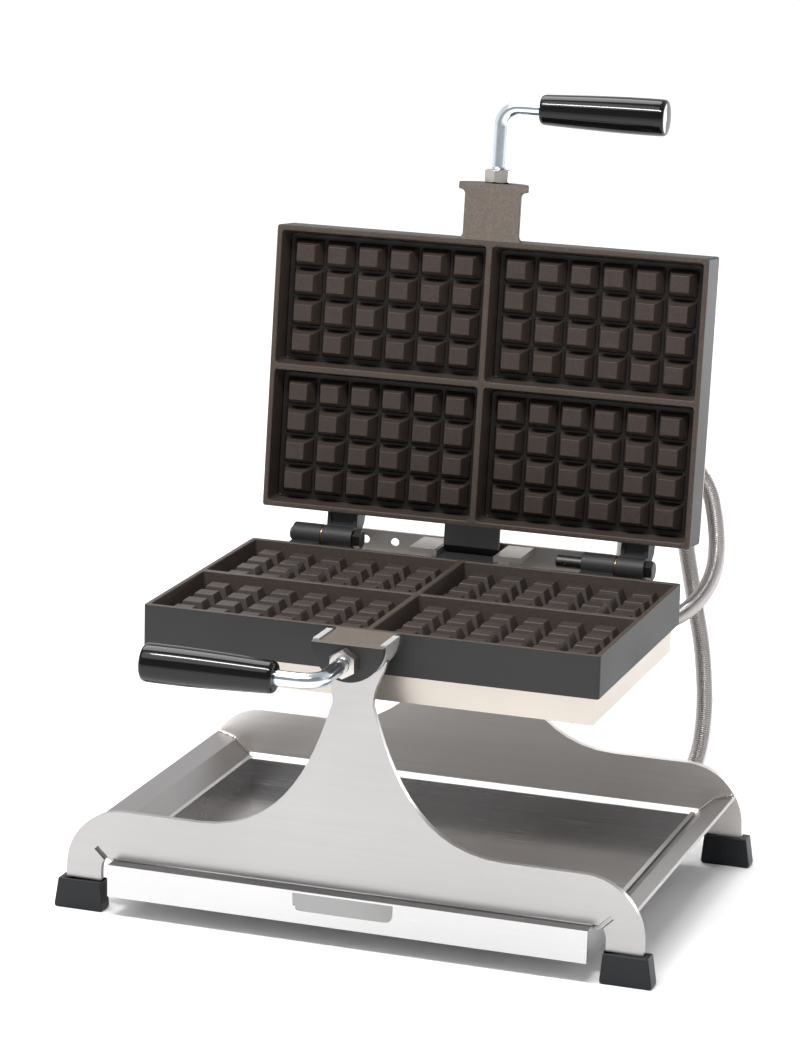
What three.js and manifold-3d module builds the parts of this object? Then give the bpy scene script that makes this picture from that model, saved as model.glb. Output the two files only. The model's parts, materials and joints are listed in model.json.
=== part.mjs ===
// A turning waffle iron for a snack counter: two cast-iron waffle plates on a rear hinge, carried by
// half-round trunnions between two stainless panels, with a drip tray that slides out to the front.
// Millimetres, +Z up, the front towards -Y. The origin is on the table, under the middle of the outline.
import * as THREE from "three";
import { mergeVertices } from "three/addons/utils/BufferGeometryUtils.js";
import Module from "manifold-3d";

const wasm = await Module();
wasm.setup();

// ---------------------------------------------------------------- driving dimensions
const GAP = 0.3; // air left between two pieces that touch
const SEGMENTS = 32; // sides of a full turning

const PLATE = { width: 340, depth: 217, height: 31.5, rim: 4, rib: 4.5 };
const CELLS = { across: 6, deep: 4, pitchX: 25.4, pitchY: 22.8 };
const CAVITY = { depth: 16, draft: 2.5 };
const STUD = { height: 11.5, top: [14.5, 12.5], foot: [22.4, 19.8] };
const AXIS_Z = 225; // turning axis, in the plane where the plates meet
const LID_FACE_Z = AXIS_Z + 0.15; // the upper baking face, with the lid down

const JOURNAL = { radius: 22, front: 37.5, rearLower: 20.5, rearUpper: 23, chamfer: 7.5 };
const FLANGE = { radius: 27, thickness: 5.5 };
const HINGE = { behind: 19.2, above: 2, knuckle: 9, bore: 5.3, opening: 96.1 };
const LUGS = [
  { name: "left", lower: [-142.5, -119.2], upper: [-118.4, -94] },
  { name: "right", lower: [89, 115], upper: [115.8, 137.5] },
];

const COVER = { inset: 4.8, height: 20, sheet: 1.5 };
const ELEMENT = { radius: 3.2, runs: 4, length: 296, spacing: 46 };
const BLANKET = { inset: 6, thickness: 9.5 };
const THERMOSTAT = { radius: 8, height: 7, x: 60 };
const COVER_SCREW = { inX: 22, inY: 16, radius: 4, head: 2.2, shank: 2, length: 9 };

const ROD = { radius: 5.5, below: 12, reach: 57, bend: 13, toGrip: 31, inGrip: 40, inPlate: 15 };
const NUT = { flats: 18, height: 10 };
const GRIP = { length: 97, neck: 11.5, end: 14, round: 3 };

const PANEL = { sheet: 5, front: -137, rear: 148.3 };
const SHOULDER = { z: 76.5, x: 172, radius: 44.5 };
const NECK = { half: 15, z: 178, top: 212, topHalf: 25 };
const ARCH = { z: 41, half: 183, legX: 189.5, legZ: 29 };
const LEG = { outer: 217, bottom: 4 };
const FOOT = { bottom: [186.5, 224.8], top: [188.6, 221.4], height: 22.5, width: 14, round: 3 };

const CRADLE = { inner: 22.5, outer: 27, front: [-145.9, -117.5], rear: [112, 148], lip: 0.8 };
const SADDLE = { wing: 44, top: 230, sheet: 4 };
const CROSS = { half: 105, top: 230.6, height: 40, sheet: 3, hole: 3.2, holes: [-92, -68, 68, 92] };
const CROSS_HOLE_Z = 222.5;
const CROSS_BOLT = { x: 9, z: 194.5, shank: 2.8, head: 5, headHeight: 3.5 };

const RAIL = { sheet: 2.5, outer: [210.5, 54], fold: [195.5, 49.5], inner: [181, 35.7] };
const TAB = { from: [193.5, 47.6], to: [184.6, 39.1], slack: 0.6, front: 3.6, rear: 1 };

const TRAY = {
  half: 179.5, front: -149, rear: 139, floor: 16, top: 39.9, rearTop: 37.5, sheet: 1.5,
  ledge: 2, lip: 13, pull: [75, 13, 7],
};

const BOX = { x: [-50, 50], z: [46, 80], depth: 40, wall: 2, gap: 0.5 };
const CONDUIT = { radius: 7, sides: 10, bore: 7.6 };
const GLAND = { radius: 9, length: 12, flats: 16.6 };
const SUPPLY_X = 100;
const LID_LINK_X = 138;
const INLET = { radius: 9, length: 14, bore: 4.2 };

const HALF_DEPTH = PLATE.depth / 2;
const HINGE_Y = HALF_DEPTH + HINGE.behind;
const HINGE_Z = AXIS_Z + HINGE.above;

// ---------------------------------------------------------------- finishes
const finish = (color, roughness, metalness) =>
  new THREE.MeshStandardMaterial({ color, roughness, metalness });
const STAINLESS = finish(0xbdbab6, 0.35, 1);
const CAST_IRON = finish(0x2f2c2a, 0.75, 0.4);
const ZINC = finish(0xb4bec8, 0.25, 1);
const BLACK_PLASTIC = finish(0x0c0c0e, 0.12, 0);
const RUBBER = finish(0x25262a, 0.6, 0);
const CONDUIT_STEEL = finish(0x8c8886, 0.4, 1);
const BLANKET_WOOL = finish(0xd9d4c6, 0.95, 0);
const HEATER_STEEL = finish(0x5a5450, 0.5, 1);
const BRASS = finish(0xb08d4c, 0.35, 1);
const CERAMIC = finish(0xe8e4da, 0.6, 0);

// ---------------------------------------------------------------- solids
function solid(geometry) {
  const bare = geometry.index ? geometry.toNonIndexed() : geometry.clone();
  bare.deleteAttribute("normal");
  bare.deleteAttribute("uv");
  const merged = mergeVertices(bare, 1e-4);
  return new wasm.Manifold(
    new wasm.Mesh({
      numProp: 3,
      vertProperties: merged.attributes.position.array,
      triVerts: new Uint32Array(merged.index.array),
    }),
  );
}

function geometryOf(manifold) {
  const mesh = manifold.getMesh();
  const geometry = new THREE.BufferGeometry();
  geometry.setAttribute("position", new THREE.BufferAttribute(mesh.vertProperties, mesh.numProp));
  geometry.setIndex(new THREE.BufferAttribute(mesh.triVerts, 1));
  const flat = geometry.toNonIndexed();
  flat.computeVertexNormals();
  return flat;
}

function part(name, shape, material) {
  const geometry = shape.isBufferGeometry ? shape : geometryOf(shape);
  const mesh = new THREE.Mesh(geometry, material);
  mesh.name = name;
  return mesh;
}

// A box between two corners.
function box([x0, x1], [y0, y1], [z0, z1]) {
  const geometry = new THREE.BoxGeometry(x1 - x0, y1 - y0, z1 - z0);
  return solid(geometry.translate((x0 + x1) / 2, (y0 + y1) / 2, (z0 + z1) / 2));
}

// A round bar along one axis, from one station to another, with its middle at the given point.
function bar(axis, radius, from, to, [x, y, z], sides = SEGMENTS) {
  const geometry = new THREE.CylinderGeometry(radius, radius, to - from, sides);
  geometry.translate(0, (from + to) / 2, 0);
  if (axis === "x") geometry.rotateZ(-Math.PI / 2);
  if (axis === "z") geometry.rotateX(Math.PI / 2);
  return solid(geometry.translate(x, y, z));
}

// An outline in the XZ plane, drawn out along Y between two stations.
function slab(shape, from, to, curveSegments = 12) {
  const settings = { depth: to - from, bevelEnabled: false, curveSegments };
  const geometry = new THREE.ExtrudeGeometry(shape, settings);
  return solid(geometry.rotateX(Math.PI / 2).translate(0, to, 0));
}

// An outline in the YZ plane, drawn out along X between two stations.
function strip(points, from, to) {
  const shape = new THREE.Shape(points.map(([y, z]) => new THREE.Vector2(y, z)));
  const geometry = new THREE.ExtrudeGeometry(shape, { depth: to - from, bevelEnabled: false });
  return solid(geometry.rotateZ(Math.PI / 2).rotateY(Math.PI / 2).translate(from, 0, 0));
}

// A block whose top is smaller than its foot, standing on z = 0.
function frustum([topX, topY], [footX, footY], height) {
  const geometry = new THREE.BoxGeometry(1, 1, 1);
  const corner = geometry.attributes.position;
  for (let i = 0; i < corner.count; i += 1) {
    const high = corner.getZ(i) > 0;
    const x = corner.getX(i) * (high ? topX : footX);
    const y = corner.getY(i) * (high ? topY : footY);
    corner.setXYZ(i, x, y, high ? height : 0);
  }
  return solid(geometry);
}

// A round tube along a curve, filled from side to side.
function rope(curve, radius, sides, steps) {
  const ring = [];
  for (let i = 0; i < sides; i += 1) {
    const turn = (i / sides) * 2 * Math.PI;
    ring.push(new THREE.Vector2(radius * Math.cos(turn), radius * Math.sin(turn)));
  }
  const settings = { steps, extrudePath: curve, bevelEnabled: false };
  return solid(new THREE.ExtrudeGeometry(new THREE.Shape(ring), settings));
}

// A turned piece about the X axis: its profile is a list of [station, radius].
function turned(profile, sides = 24) {
  const points = profile.map(([station, radius]) => new THREE.Vector2(radius, station));
  return solid(new THREE.LatheGeometry(points, sides).rotateZ(-Math.PI / 2));
}

function vectors(points) {
  return points.map(([x, y, z]) => new THREE.Vector3(x, y, z));
}

// ---------------------------------------------------------------- waffle plates
// One quarter of the baking face, cut down from z = 0, with its studs left standing.
function bakingCavity(width, depth) {
  const { draft } = CAVITY;
  const foot = [width - 2 * draft, depth - 2 * draft];
  let hollow = frustum([width, depth], foot, CAVITY.depth).translate([0, 0, -CAVITY.depth]);
  const stud = frustum(STUD.top, STUD.foot, STUD.height).translate([0, 0, -CAVITY.depth]);
  for (let i = 0; i < CELLS.across; i += 1) {
    for (let j = 0; j < CELLS.deep; j += 1) {
      const x = (i - (CELLS.across - 1) / 2) * CELLS.pitchX;
      const y = (j - (CELLS.deep - 1) / 2) * CELLS.pitchY;
      hollow = hollow.subtract(stud.translate([x, y, 0]));
    }
  }
  return hollow;
}

// A half-round bar along Y below z = 0, from one station to another.
function halfRound(radius, from, to) {
  const round = bar("y", radius, from, to, [0, 0, 0]);
  return round.subtract(box([-radius - 1, radius + 1], [from - 1, to + 1], [0, radius + 1]));
}

// The lower half's casting, with its baking face at z = 0 and its middle on the Z axis.
function plateBlank() {
  const { width, depth, height, rim, rib } = PLATE;
  const cavityWidth = (width - 2 * rim - rib) / 2;
  const cavityDepth = (depth - 2 * rim - rib) / 2;
  let casting = box([-width / 2, width / 2], [-depth / 2, depth / 2], [-height, 0]);
  const hollow = bakingCavity(cavityWidth, cavityDepth);
  for (const sideX of [-1, 1]) {
    for (const sideY of [-1, 1]) {
      const x = (sideX * (cavityWidth + rib)) / 2;
      const y = (sideY * (cavityDepth + rib)) / 2;
      casting = casting.subtract(hollow.translate([x, y, 0]));
    }
  }
  const faceY = -HALF_DEPTH - JOURNAL.front;
  casting = casting.add(halfRound(JOURNAL.radius, faceY, -HALF_DEPTH + 1));
  casting = casting.add(halfRound(FLANGE.radius, faceY - FLANGE.thickness, faceY));
  const stem = [0, 0, -ROD.below];
  const boreEnd = faceY - FLANGE.thickness + ROD.inPlate + GAP;
  return casting.subtract(bar("y", ROD.radius + GAP, faceY - FLANGE.thickness - 1, boreEnd, stem, 16));
}

// Turns a casting over about the line that runs front to back, as the upper plate lies on the lower.
function turnedOver(manifold) {
  return manifold.rotate([0, 180, 0]);
}

function hingeEye([from, to], arm) {
  const eye = bar("x", HINGE.knuckle, from, to, [0, HINGE_Y, HINGE_Z]);
  const bore = bar("x", HINGE.bore, from - 1, to + 1, [0, HINGE_Y, HINGE_Z], 16);
  return eye.add(strip(arm, from, to)).subtract(bore);
}

function lowerPlate() {
  let casting = plateBlank().add(halfRound(JOURNAL.radius, HALF_DEPTH - 1, HALF_DEPTH + JOURNAL.rearLower));
  casting = casting.translate([0, 0, AXIS_Z]);
  const arm = [
    [HALF_DEPTH - 1, AXIS_Z - 18],
    [HALF_DEPTH + 8, AXIS_Z - 16],
    [HINGE_Y + 5, HINGE_Z - 7.4],
    [HINGE_Y, HINGE_Z],
    [HALF_DEPTH + 11.5, AXIS_Z - 0.6],
    [HALF_DEPTH - 1, AXIS_Z - 0.6],
  ];
  for (const lug of LUGS) casting = casting.add(hingeEye(lug.lower, arm));
  return casting;
}

function upperPlate() {
  const { radius, rearUpper, chamfer } = JOURNAL;
  const endY = HALF_DEPTH + rearUpper;
  const rear = halfRound(radius, HALF_DEPTH - 1, endY);
  const wedge = strip(
    [
      [endY - chamfer, 0],
      [endY + 1, -chamfer - 1],
      [endY + 1, 1],
      [endY - chamfer - 1, 1],
    ],
    -radius - 1,
    radius + 1,
  );
  const casting = plateBlank().add(rear.subtract(wedge));
  let upper = turnedOver(casting).translate([0, 0, LID_FACE_Z]);
  const arm = [
    [HALF_DEPTH - 1, AXIS_Z + 6],
    [HINGE_Y - 8, HINGE_Z + 3.5],
    [HINGE_Y, HINGE_Z],
    [HINGE_Y + 6, HINGE_Z + 6],
    [HALF_DEPTH + 9, AXIS_Z + 24],
    [HALF_DEPTH - 1, AXIS_Z + 27],
  ];
  for (const lug of LUGS) upper = upper.add(hingeEye(lug.upper, arm));
  return upper;
}

// ---------------------------------------------------------------- heating, below z = 0 (the back of a plate)
function heaterCover(endGlands, backGlands) {
  const halfX = PLATE.width / 2 - COVER.inset;
  const halfY = HALF_DEPTH - COVER.inset;
  const { height, sheet } = COVER;
  const shell = box([-halfX, halfX], [-halfY, halfY], [-height, -GAP]);
  const inside = box(
    [-halfX + sheet, halfX - sheet],
    [-halfY + sheet, halfY - sheet],
    [-height + sheet, 1],
  );
  let cover = shell.subtract(inside);
  for (const [x, y] of screwPlaces()) {
    cover = cover.subtract(bar("z", COVER_SCREW.shank + GAP, -height - 1, -height + 4, [x, y, 0], 12));
  }
  for (const x of endGlands) {
    const hole = [x, 0, -height / 2];
    cover = cover.subtract(bar("y", CONDUIT.radius + GAP, halfY - 4, halfY + 4, hole, 16));
  }
  for (const [x, y] of backGlands) {
    cover = cover.subtract(bar("z", CONDUIT.radius + GAP, -height - 1, -height + 4, [x, y, 0], 16));
  }
  return cover;
}

function screwPlaces() {
  const x = PLATE.width / 2 - COVER_SCREW.inX;
  const y = HALF_DEPTH - COVER_SCREW.inY;
  return [
    [-x, -y],
    [x, -y],
    [-x, y],
    [x, y],
  ];
}

// A pan-head screw up through the cover.
function coverScrew([x, y]) {
  const { radius, head, shank, length } = COVER_SCREW;
  const under = -COVER.height - GAP;
  const cap = bar("z", radius, under - head, under, [x, y, 0], 16);
  return cap.add(bar("z", shank, under - 0.5, under + length, [x, y, 0], 12));
}

// A serpentine tubular element lying on the back of the plate.
function heaterElement() {
  const { radius, runs, length, spacing } = ELEMENT;
  const path = new THREE.CurvePath();
  const z = -radius - GAP;
  const turn = spacing / 2;
  for (let i = 0; i < runs; i += 1) {
    const y = (i - (runs - 1) / 2) * spacing;
    const way = i % 2 === 0 ? 1 : -1;
    const reach = length / 2 - turn;
    const ends = vectors([
      [-way * reach, y, z],
      [way * reach, y, z],
    ]);
    path.add(new THREE.LineCurve3(...ends));
    if (i === runs - 1) continue;
    const bend = vectors([
      [way * reach, y, z],
      [way * (reach + turn * 1.33), y, z],
      [way * (reach + turn * 1.33), y + spacing, z],
      [way * reach, y + spacing, z],
    ]);
    path.add(new THREE.CubicBezierCurve3(...bend));
  }
  return rope(path, radius, 6, 60);
}

// The wool blanket between the element and the cover.
function heaterBlanket() {
  const halfX = PLATE.width / 2 - COVER.inset - BLANKET.inset;
  const halfY = HALF_DEPTH - COVER.inset - BLANKET.inset;
  const top = -2 * ELEMENT.radius - 2 * GAP;
  let wool = box([-halfX, halfX], [-halfY, halfY], [top - BLANKET.thickness, top]);
  for (const [x, y] of screwPlaces()) {
    wool = wool.subtract(bar("z", COVER_SCREW.shank + 2, -COVER.height, 1, [x, y, 0], 12));
  }
  const pocket = bar("z", THERMOSTAT.radius + 1, -COVER.height, 1, [THERMOSTAT.x, 0, 0], 16);
  return wool.subtract(pocket);
}

function thermostat() {
  const { radius, height, x } = THERMOSTAT;
  return bar("z", radius, -height - GAP, -GAP, [x, 0, 0], 16);
}

// ---------------------------------------------------------------- handles
// The rod leaves the flange towards -Y and turns towards -X. Its middle is at the origin's height.
function handleRod() {
  const flangeY = -HALF_DEPTH - JOURNAL.front - FLANGE.thickness;
  const gripY = flangeY - ROD.reach;
  const bend = ROD.bend;
  const path = new THREE.CurvePath();
  const [start, bendStart, corner, bendEnd, end] = vectors([
    [0, flangeY + ROD.inPlate, 0],
    [0, gripY + bend, 0],
    [0, gripY, 0],
    [-bend, gripY, 0],
    [-ROD.toGrip - ROD.inGrip, gripY, 0],
  ]);
  path.add(new THREE.LineCurve3(start, bendStart));
  path.add(new THREE.QuadraticBezierCurve3(bendStart, corner, bendEnd));
  path.add(new THREE.LineCurve3(bendEnd, end));
  return rope(path, ROD.radius, 12, 26);
}

function handleNut() {
  const flangeY = -HALF_DEPTH - JOURNAL.front - FLANGE.thickness;
  const from = flangeY - GAP - NUT.height;
  const hex = bar("y", NUT.flats / Math.sqrt(3), from, flangeY - GAP, [0, 0, 0], 6);
  return hex.subtract(bar("y", ROD.radius + GAP, from - 1, flangeY + 1, [0, 0, 0], 16));
}

// A conical grip, thicker at its free end, bored for the rod.
function handleGrip() {
  const { length, neck, end, round } = GRIP;
  const bore = ROD.inGrip + 1;
  const profile = [
    [bore, 0],
    [bore, ROD.radius + GAP],
    [0, ROD.radius + GAP],
    [0, neck - 1],
    [1, neck],
    [length * 0.5, (neck + end) / 2 + 0.5],
    [length - 3 * round, end],
    [length - round, end - 0.6],
    [length - round * 0.3, end - round],
    [length, end - 2 * round],
    [length, 0],
  ];
  const gripY = -HALF_DEPTH - JOURNAL.front - FLANGE.thickness - ROD.reach;
  return turned(profile).rotate([0, 0, 180]).translate([-ROD.toGrip, gripY, 0]);
}

function handle(prefix, height, over) {
  const place = (shape) => (over ? turnedOver(shape) : shape).translate([0, 0, height]);
  return [
    part(`${prefix}_handle_rod`, place(handleRod()), ZINC),
    part(`${prefix}_handle_nut`, place(handleNut()), ZINC),
    part(`${prefix}_handle_grip`, place(handleGrip()), BLACK_PLASTIC),
  ];
}

// ---------------------------------------------------------------- hinge bolts
// A hexagon bolt through both eyes of one hinge, with its head on the upper plate's eye.
function hingeBolt(lug) {
  const headFrom = lug.upper[1] + GAP;
  const tail = lug.name === "right" ? lug.lower[0] - 21 : lug.lower[0] - 3;
  const middle = [0, HINGE_Y, HINGE_Z];
  const shank = bar("x", HINGE.bore - GAP, tail, headFrom + 1, middle, 16);
  const head = bar("x", 7.5, headFrom, headFrom + 6, middle, 6);
  const bolt = shank.add(head);
  if (lug.name === "left") return bolt;
  return bolt.subtract(bar("y", 1.3, HINGE_Y - 8, HINGE_Y + 8, [tail + 7, 0, HINGE_Z], 10));
}

// ---------------------------------------------------------------- side panels and feet
function panelOutline() {
  const shape = new THREE.Shape();
  const half = (sign) => {
    const x = (value) => sign * value;
    return {
      neckTop: [x(NECK.topHalf), NECK.top],
      neck: [x(NECK.half), NECK.z],
      shoulder: [x(SHOULDER.x), SHOULDER.z],
      curve: [x(NECK.half + 11), NECK.z - 36, x(46), SHOULDER.z, x(115), SHOULDER.z],
      flare: [x(NECK.half), NECK.z + 16, x(NECK.topHalf - 3), NECK.top - 12],
      leg: [x(LEG.outer), LEG.bottom],
      inner: [x(ARCH.legX), LEG.bottom],
      archLeg: [x(ARCH.legX), ARCH.legZ],
      arch: [x(ARCH.legX), ARCH.z - 3, x(ARCH.legX - 3), ARCH.z, x(ARCH.half), ARCH.z],
    };
  };
  const right = half(1);
  const left = half(-1);
  const centre = [SHOULDER.x, SHOULDER.z - SHOULDER.radius];
  shape.moveTo(...right.neckTop);
  shape.bezierCurveTo(right.flare[2], right.flare[3], right.flare[0], right.flare[1], ...right.neck);
  shape.bezierCurveTo(...right.curve);
  shape.lineTo(...right.shoulder);
  shape.absarc(...centre, SHOULDER.radius, Math.PI / 2, 0, true);
  shape.lineTo(...right.leg);
  shape.lineTo(...right.inner);
  shape.lineTo(...right.archLeg);
  shape.bezierCurveTo(...right.arch);
  shape.lineTo(-ARCH.half, ARCH.z);
  shape.bezierCurveTo(left.arch[2], left.arch[3], left.arch[0], left.arch[1], ...left.archLeg);
  shape.lineTo(...left.inner);
  shape.lineTo(...left.leg);
  shape.absarc(-centre[0], centre[1], SHOULDER.radius, Math.PI, Math.PI / 2, true);
  shape.lineTo(-115, SHOULDER.z);
  const [x1, z1, x2, z2] = left.curve;
  shape.bezierCurveTo(x2, z2, x1, z1, ...left.neck);
  shape.bezierCurveTo(...left.flare, ...left.neckTop);
  shape.closePath();
  return shape;
}

// A closed outline around a folded sheet's middle line, for a sheet of the given thickness.
function foldedSheet(points, thickness) {
  const offset = (side) =>
    points.map(([x, z], i) => {
      const [px, pz] = points[Math.max(i - 1, 0)];
      const [nx, nz] = points[Math.min(i + 1, points.length - 1)];
      const length = Math.hypot(nx - px, nz - pz);
      const reach = (side * thickness) / 2 / length;
      return new THREE.Vector2(x - (nz - pz) * reach, z + (nx - px) * reach);
    });
  return new THREE.Shape([...offset(1), ...offset(-1).reverse()]);
}

function mirroredX(manifold) {
  return manifold.mirror([1, 0, 0]);
}

// The slot that a rail's tab stands in, cut through a panel.
function tabSlot(from, to) {
  const slot = slab(foldedSheet([TAB.from, TAB.to], RAIL.sheet + 2 * TAB.slack), from, to);
  return slot.add(slab(foldedSheet([TAB.to, RAIL.inner], RAIL.sheet + 2 * TAB.slack), from, to));
}

function panel(from, to) {
  const saddle = bar("y", CRADLE.outer + GAP, from - 1, to + 1, [0, 0, AXIS_Z]);
  const slot = tabSlot(from - 1, to + 1);
  return slab(panelOutline(), from, to, 14).subtract(saddle).subtract(slot).subtract(mirroredX(slot));
}

function rearPanel() {
  const from = PANEL.rear - PANEL.sheet;
  let sheet = panel(from, PANEL.rear);
  for (const side of [-1, 1]) {
    const place = [side * CROSS_BOLT.x, 0, CROSS_BOLT.z];
    sheet = sheet.subtract(bar("y", CROSS_BOLT.shank + GAP, from - 1, PANEL.rear + 1, place, 12));
  }
  return sheet;
}

function sideRail() {
  const from = PANEL.front + PANEL.sheet + GAP;
  const to = PANEL.rear - PANEL.sheet - GAP;
  const web = slab(foldedSheet([RAIL.outer, RAIL.fold, RAIL.inner], RAIL.sheet), from, to);
  const line = foldedSheet([TAB.from, TAB.to], RAIL.sheet);
  const tab = slab(line, PANEL.front + TAB.front, PANEL.rear - TAB.rear);
  return web.add(tab);
}

// A moulded cap with a slot for the panel's leg.
function foot(centreY) {
  const [b0, b1] = FOOT.bottom;
  const [t0, t1] = FOOT.top;
  const { height, width, round } = FOOT;
  const shape = new THREE.Shape();
  shape.moveTo(b0 + round, 0);
  shape.lineTo(b1 - round, 0);
  shape.quadraticCurveTo(b1, 0, b1 - 0.4, round);
  shape.lineTo(t1, height);
  shape.lineTo(t0, height);
  shape.lineTo(b0 + 0.3, round);
  shape.quadraticCurveTo(b0, 0, b0 + round, 0);
  const cap = slab(shape, centreY - width / 2, centreY + width / 2, 4);
  const halfSlot = PANEL.sheet / 2 + GAP;
  const slot = box(
    [ARCH.legX - GAP, LEG.outer + GAP],
    [centreY - halfSlot, centreY + halfSlot],
    [LEG.bottom - GAP, height + 1],
  );
  return cap.subtract(slot);
}

// ---------------------------------------------------------------- cradles
// A half ring that the trunnion turns in, with its ends a little above the axis.
function halfRing(from, to, lip) {
  const { inner, outer } = CRADLE;
  const ring = bar("y", outer, from, to, [0, 0, AXIS_Z]);
  const bore = bar("y", inner, from - 1, to + 1, [0, 0, AXIS_Z]);
  const half = ring.subtract(bore).subtract(box([-40, 40], [from - 1, to + 1], [AXIS_Z, AXIS_Z + 40]));
  const end = (x0, x1) => box([x0, x1], [from, to], [AXIS_Z - 0.5, AXIS_Z + lip]);
  return half.add(end(inner, outer)).add(end(-outer, -inner));
}

function frontCradle() {
  return halfRing(...CRADLE.front, CRADLE.lip);
}

// The rear one is a saddle: its ends fold out into two flat wings.
function rearCradle() {
  const { wing, top, sheet } = SADDLE;
  const [from, to] = CRADLE.rear;
  const flat = (x0, x1) => box([x0, x1], [from, to], [top - sheet, top]);
  const inner = CRADLE.inner;
  return halfRing(from, to, top - AXIS_Z - 1)
    .add(flat(inner + 1.2, wing))
    .add(flat(-wing, -inner - 1.2));
}

// The cross plate behind the rear panel's neck.
function crossPlate() {
  const { half, top, height, sheet, hole, holes } = CROSS;
  const from = PANEL.rear + GAP;
  let sheetMetal = box([-half, half], [from, from + sheet], [top - height, top]);
  for (const x of holes) {
    sheetMetal = sheetMetal.subtract(bar("y", hole, from - 1, from + sheet + 1, [x, 0, CROSS_HOLE_Z], 16));
  }
  for (const side of [-1, 1]) {
    const place = [side * CROSS_BOLT.x, 0, CROSS_BOLT.z];
    sheetMetal = sheetMetal.subtract(
      bar("y", CROSS_BOLT.shank + GAP, from - 1, from + sheet + 1, place, 12),
    );
  }
  return sheetMetal;
}

function crossBolt(side) {
  const { x, z, shank, head, headHeight } = CROSS_BOLT;
  const seat = PANEL.rear + CROSS.sheet + 2 * GAP;
  const place = [side * x, 0, z];
  const stem = bar("y", shank, PANEL.rear - PANEL.sheet - 1.5, seat + 1, place, 12);
  return stem.add(bar("y", head, seat, seat + headHeight, place, 6));
}

// ---------------------------------------------------------------- drip tray
function dripTray() {
  const { half, front, rear, floor, top, rearTop, sheet, ledge, lip } = TRAY;
  const inner = half - sheet;
  let tray = box([-half, half], [front, rear], [floor, top]);
  tray = tray.subtract(box([-inner, inner], [front + sheet, rear - sheet], [floor + sheet, top + 1]));
  tray = tray.subtract(box([-half - 1, half + 1], [rear - sheet - 0.01, rear + 1], [rearTop, top + 1]));
  const ledgeTo = rear - 2;
  for (const side of [-1, 1]) {
    const xs = [side * (half - 1), side * (half + ledge)].sort((a, b) => a - b);
    tray = tray.add(box(xs, [PANEL.front + PANEL.sheet + 2, ledgeTo], [top - sheet, top]));
  }
  tray = tray.add(box([-half, half], [front, front + lip], [top - sheet, top]));
  const [pullWidth, pullHeight, pullRound] = TRAY.pull;
  const shape = new THREE.Shape();
  const low = top - sheet - pullHeight;
  shape.moveTo(-pullWidth / 2, top - sheet);
  shape.lineTo(-pullWidth / 2, low + pullRound);
  shape.quadraticCurveTo(-pullWidth / 2, low, -pullWidth / 2 + pullRound, low);
  shape.lineTo(pullWidth / 2 - pullRound, low);
  shape.quadraticCurveTo(pullWidth / 2, low, pullWidth / 2, low + pullRound);
  shape.lineTo(pullWidth / 2, top - sheet);
  shape.closePath();
  return tray.subtract(slab(shape, front - 1, front + sheet + 1, 6));
}

// ---------------------------------------------------------------- terminal box, glands and conduits
const BOX_FRONT = PANEL.rear + BOX.gap;
const BOX_BACK = BOX_FRONT + BOX.depth;
const BOX_MIDDLE = [(BOX_FRONT + BOX_BACK) / 2, (BOX.z[0] + BOX.z[1]) / 2];

// A box open to the back, closed by a lid.
function terminalBox() {
  const { x, z, wall } = BOX;
  const shell = box(x, [BOX_FRONT, BOX_BACK - wall - GAP], z);
  const inside = box(
    [x[0] + wall, x[1] - wall],
    [BOX_FRONT + wall, BOX_BACK + 1],
    [z[0] + wall, z[1] - wall],
  );
  const [y, middleZ] = BOX_MIDDLE;
  const supply = bar("x", CONDUIT.radius + GAP, x[1] - 4, x[1] + 4, [0, y, middleZ], 16);
  const inlet = bar("x", INLET.radius - 2, x[0] - 4, x[0] + 4, [0, y, middleZ], 16);
  return shell.subtract(inside).subtract(supply).subtract(inlet);
}

function boxLidScrew(side) {
  const z = BOX_MIDDLE[1];
  const x = side * (BOX.x[1] - 7);
  const cap = bar("y", 3.4, BOX_BACK + GAP, BOX_BACK + 2.3, [x, 0, z], 12);
  return cap.add(bar("y", 1.7, BOX_BACK - 7, BOX_BACK + 1, [x, 0, z], 10));
}

function boxLid() {
  let lid = box(BOX.x, [BOX_BACK - BOX.wall, BOX_BACK], BOX.z);
  for (const side of [-1, 1]) {
    const place = [side * (BOX.x[1] - 7), 0, BOX_MIDDLE[1]];
    lid = lid.subtract(bar("y", 2, BOX_BACK - 5, BOX_BACK + 1, place, 12));
  }
  return lid;
}

function terminalBlock() {
  const [y, z] = BOX_MIDDLE;
  return box([-18, 18], [BOX_FRONT + BOX.wall + GAP, y], [z - 7, z + 7]);
}

// A round ferrule with a hexagon at its foot, along +Y from y = 0, bored for the conduit.
function gland() {
  const ferrule = bar("y", GLAND.radius, 0, GLAND.length, [0, 0, 0], 20);
  const hex = bar("y", GLAND.flats / Math.sqrt(3), 0, 5, [0, 0, 0], 6);
  return ferrule.add(hex).subtract(bar("y", CONDUIT.bore, -1, GLAND.length + 1, [0, 0, 0], 20));
}

// The gland of the mains lead, on the box's left end.
function inletGland() {
  const [y, z] = BOX_MIDDLE;
  const { radius, length, bore } = INLET;
  const seat = BOX.x[0] - GAP;
  const nut = bar("x", radius + 2, seat - 5, seat, [0, y, z], 6);
  const body = bar("x", radius, seat - length, seat, [0, y, z], 20);
  return nut.add(body).subtract(bar("x", bore, seat - length - 1, seat + 1, [0, y, z], 16));
}

const COVER_BACK = HALF_DEPTH - COVER.inset;
const LOWER_BACK_Z = AXIS_Z - PLATE.height - COVER.height / 2;
const LID_GLAND = [128, HALF_DEPTH - 50];

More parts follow.
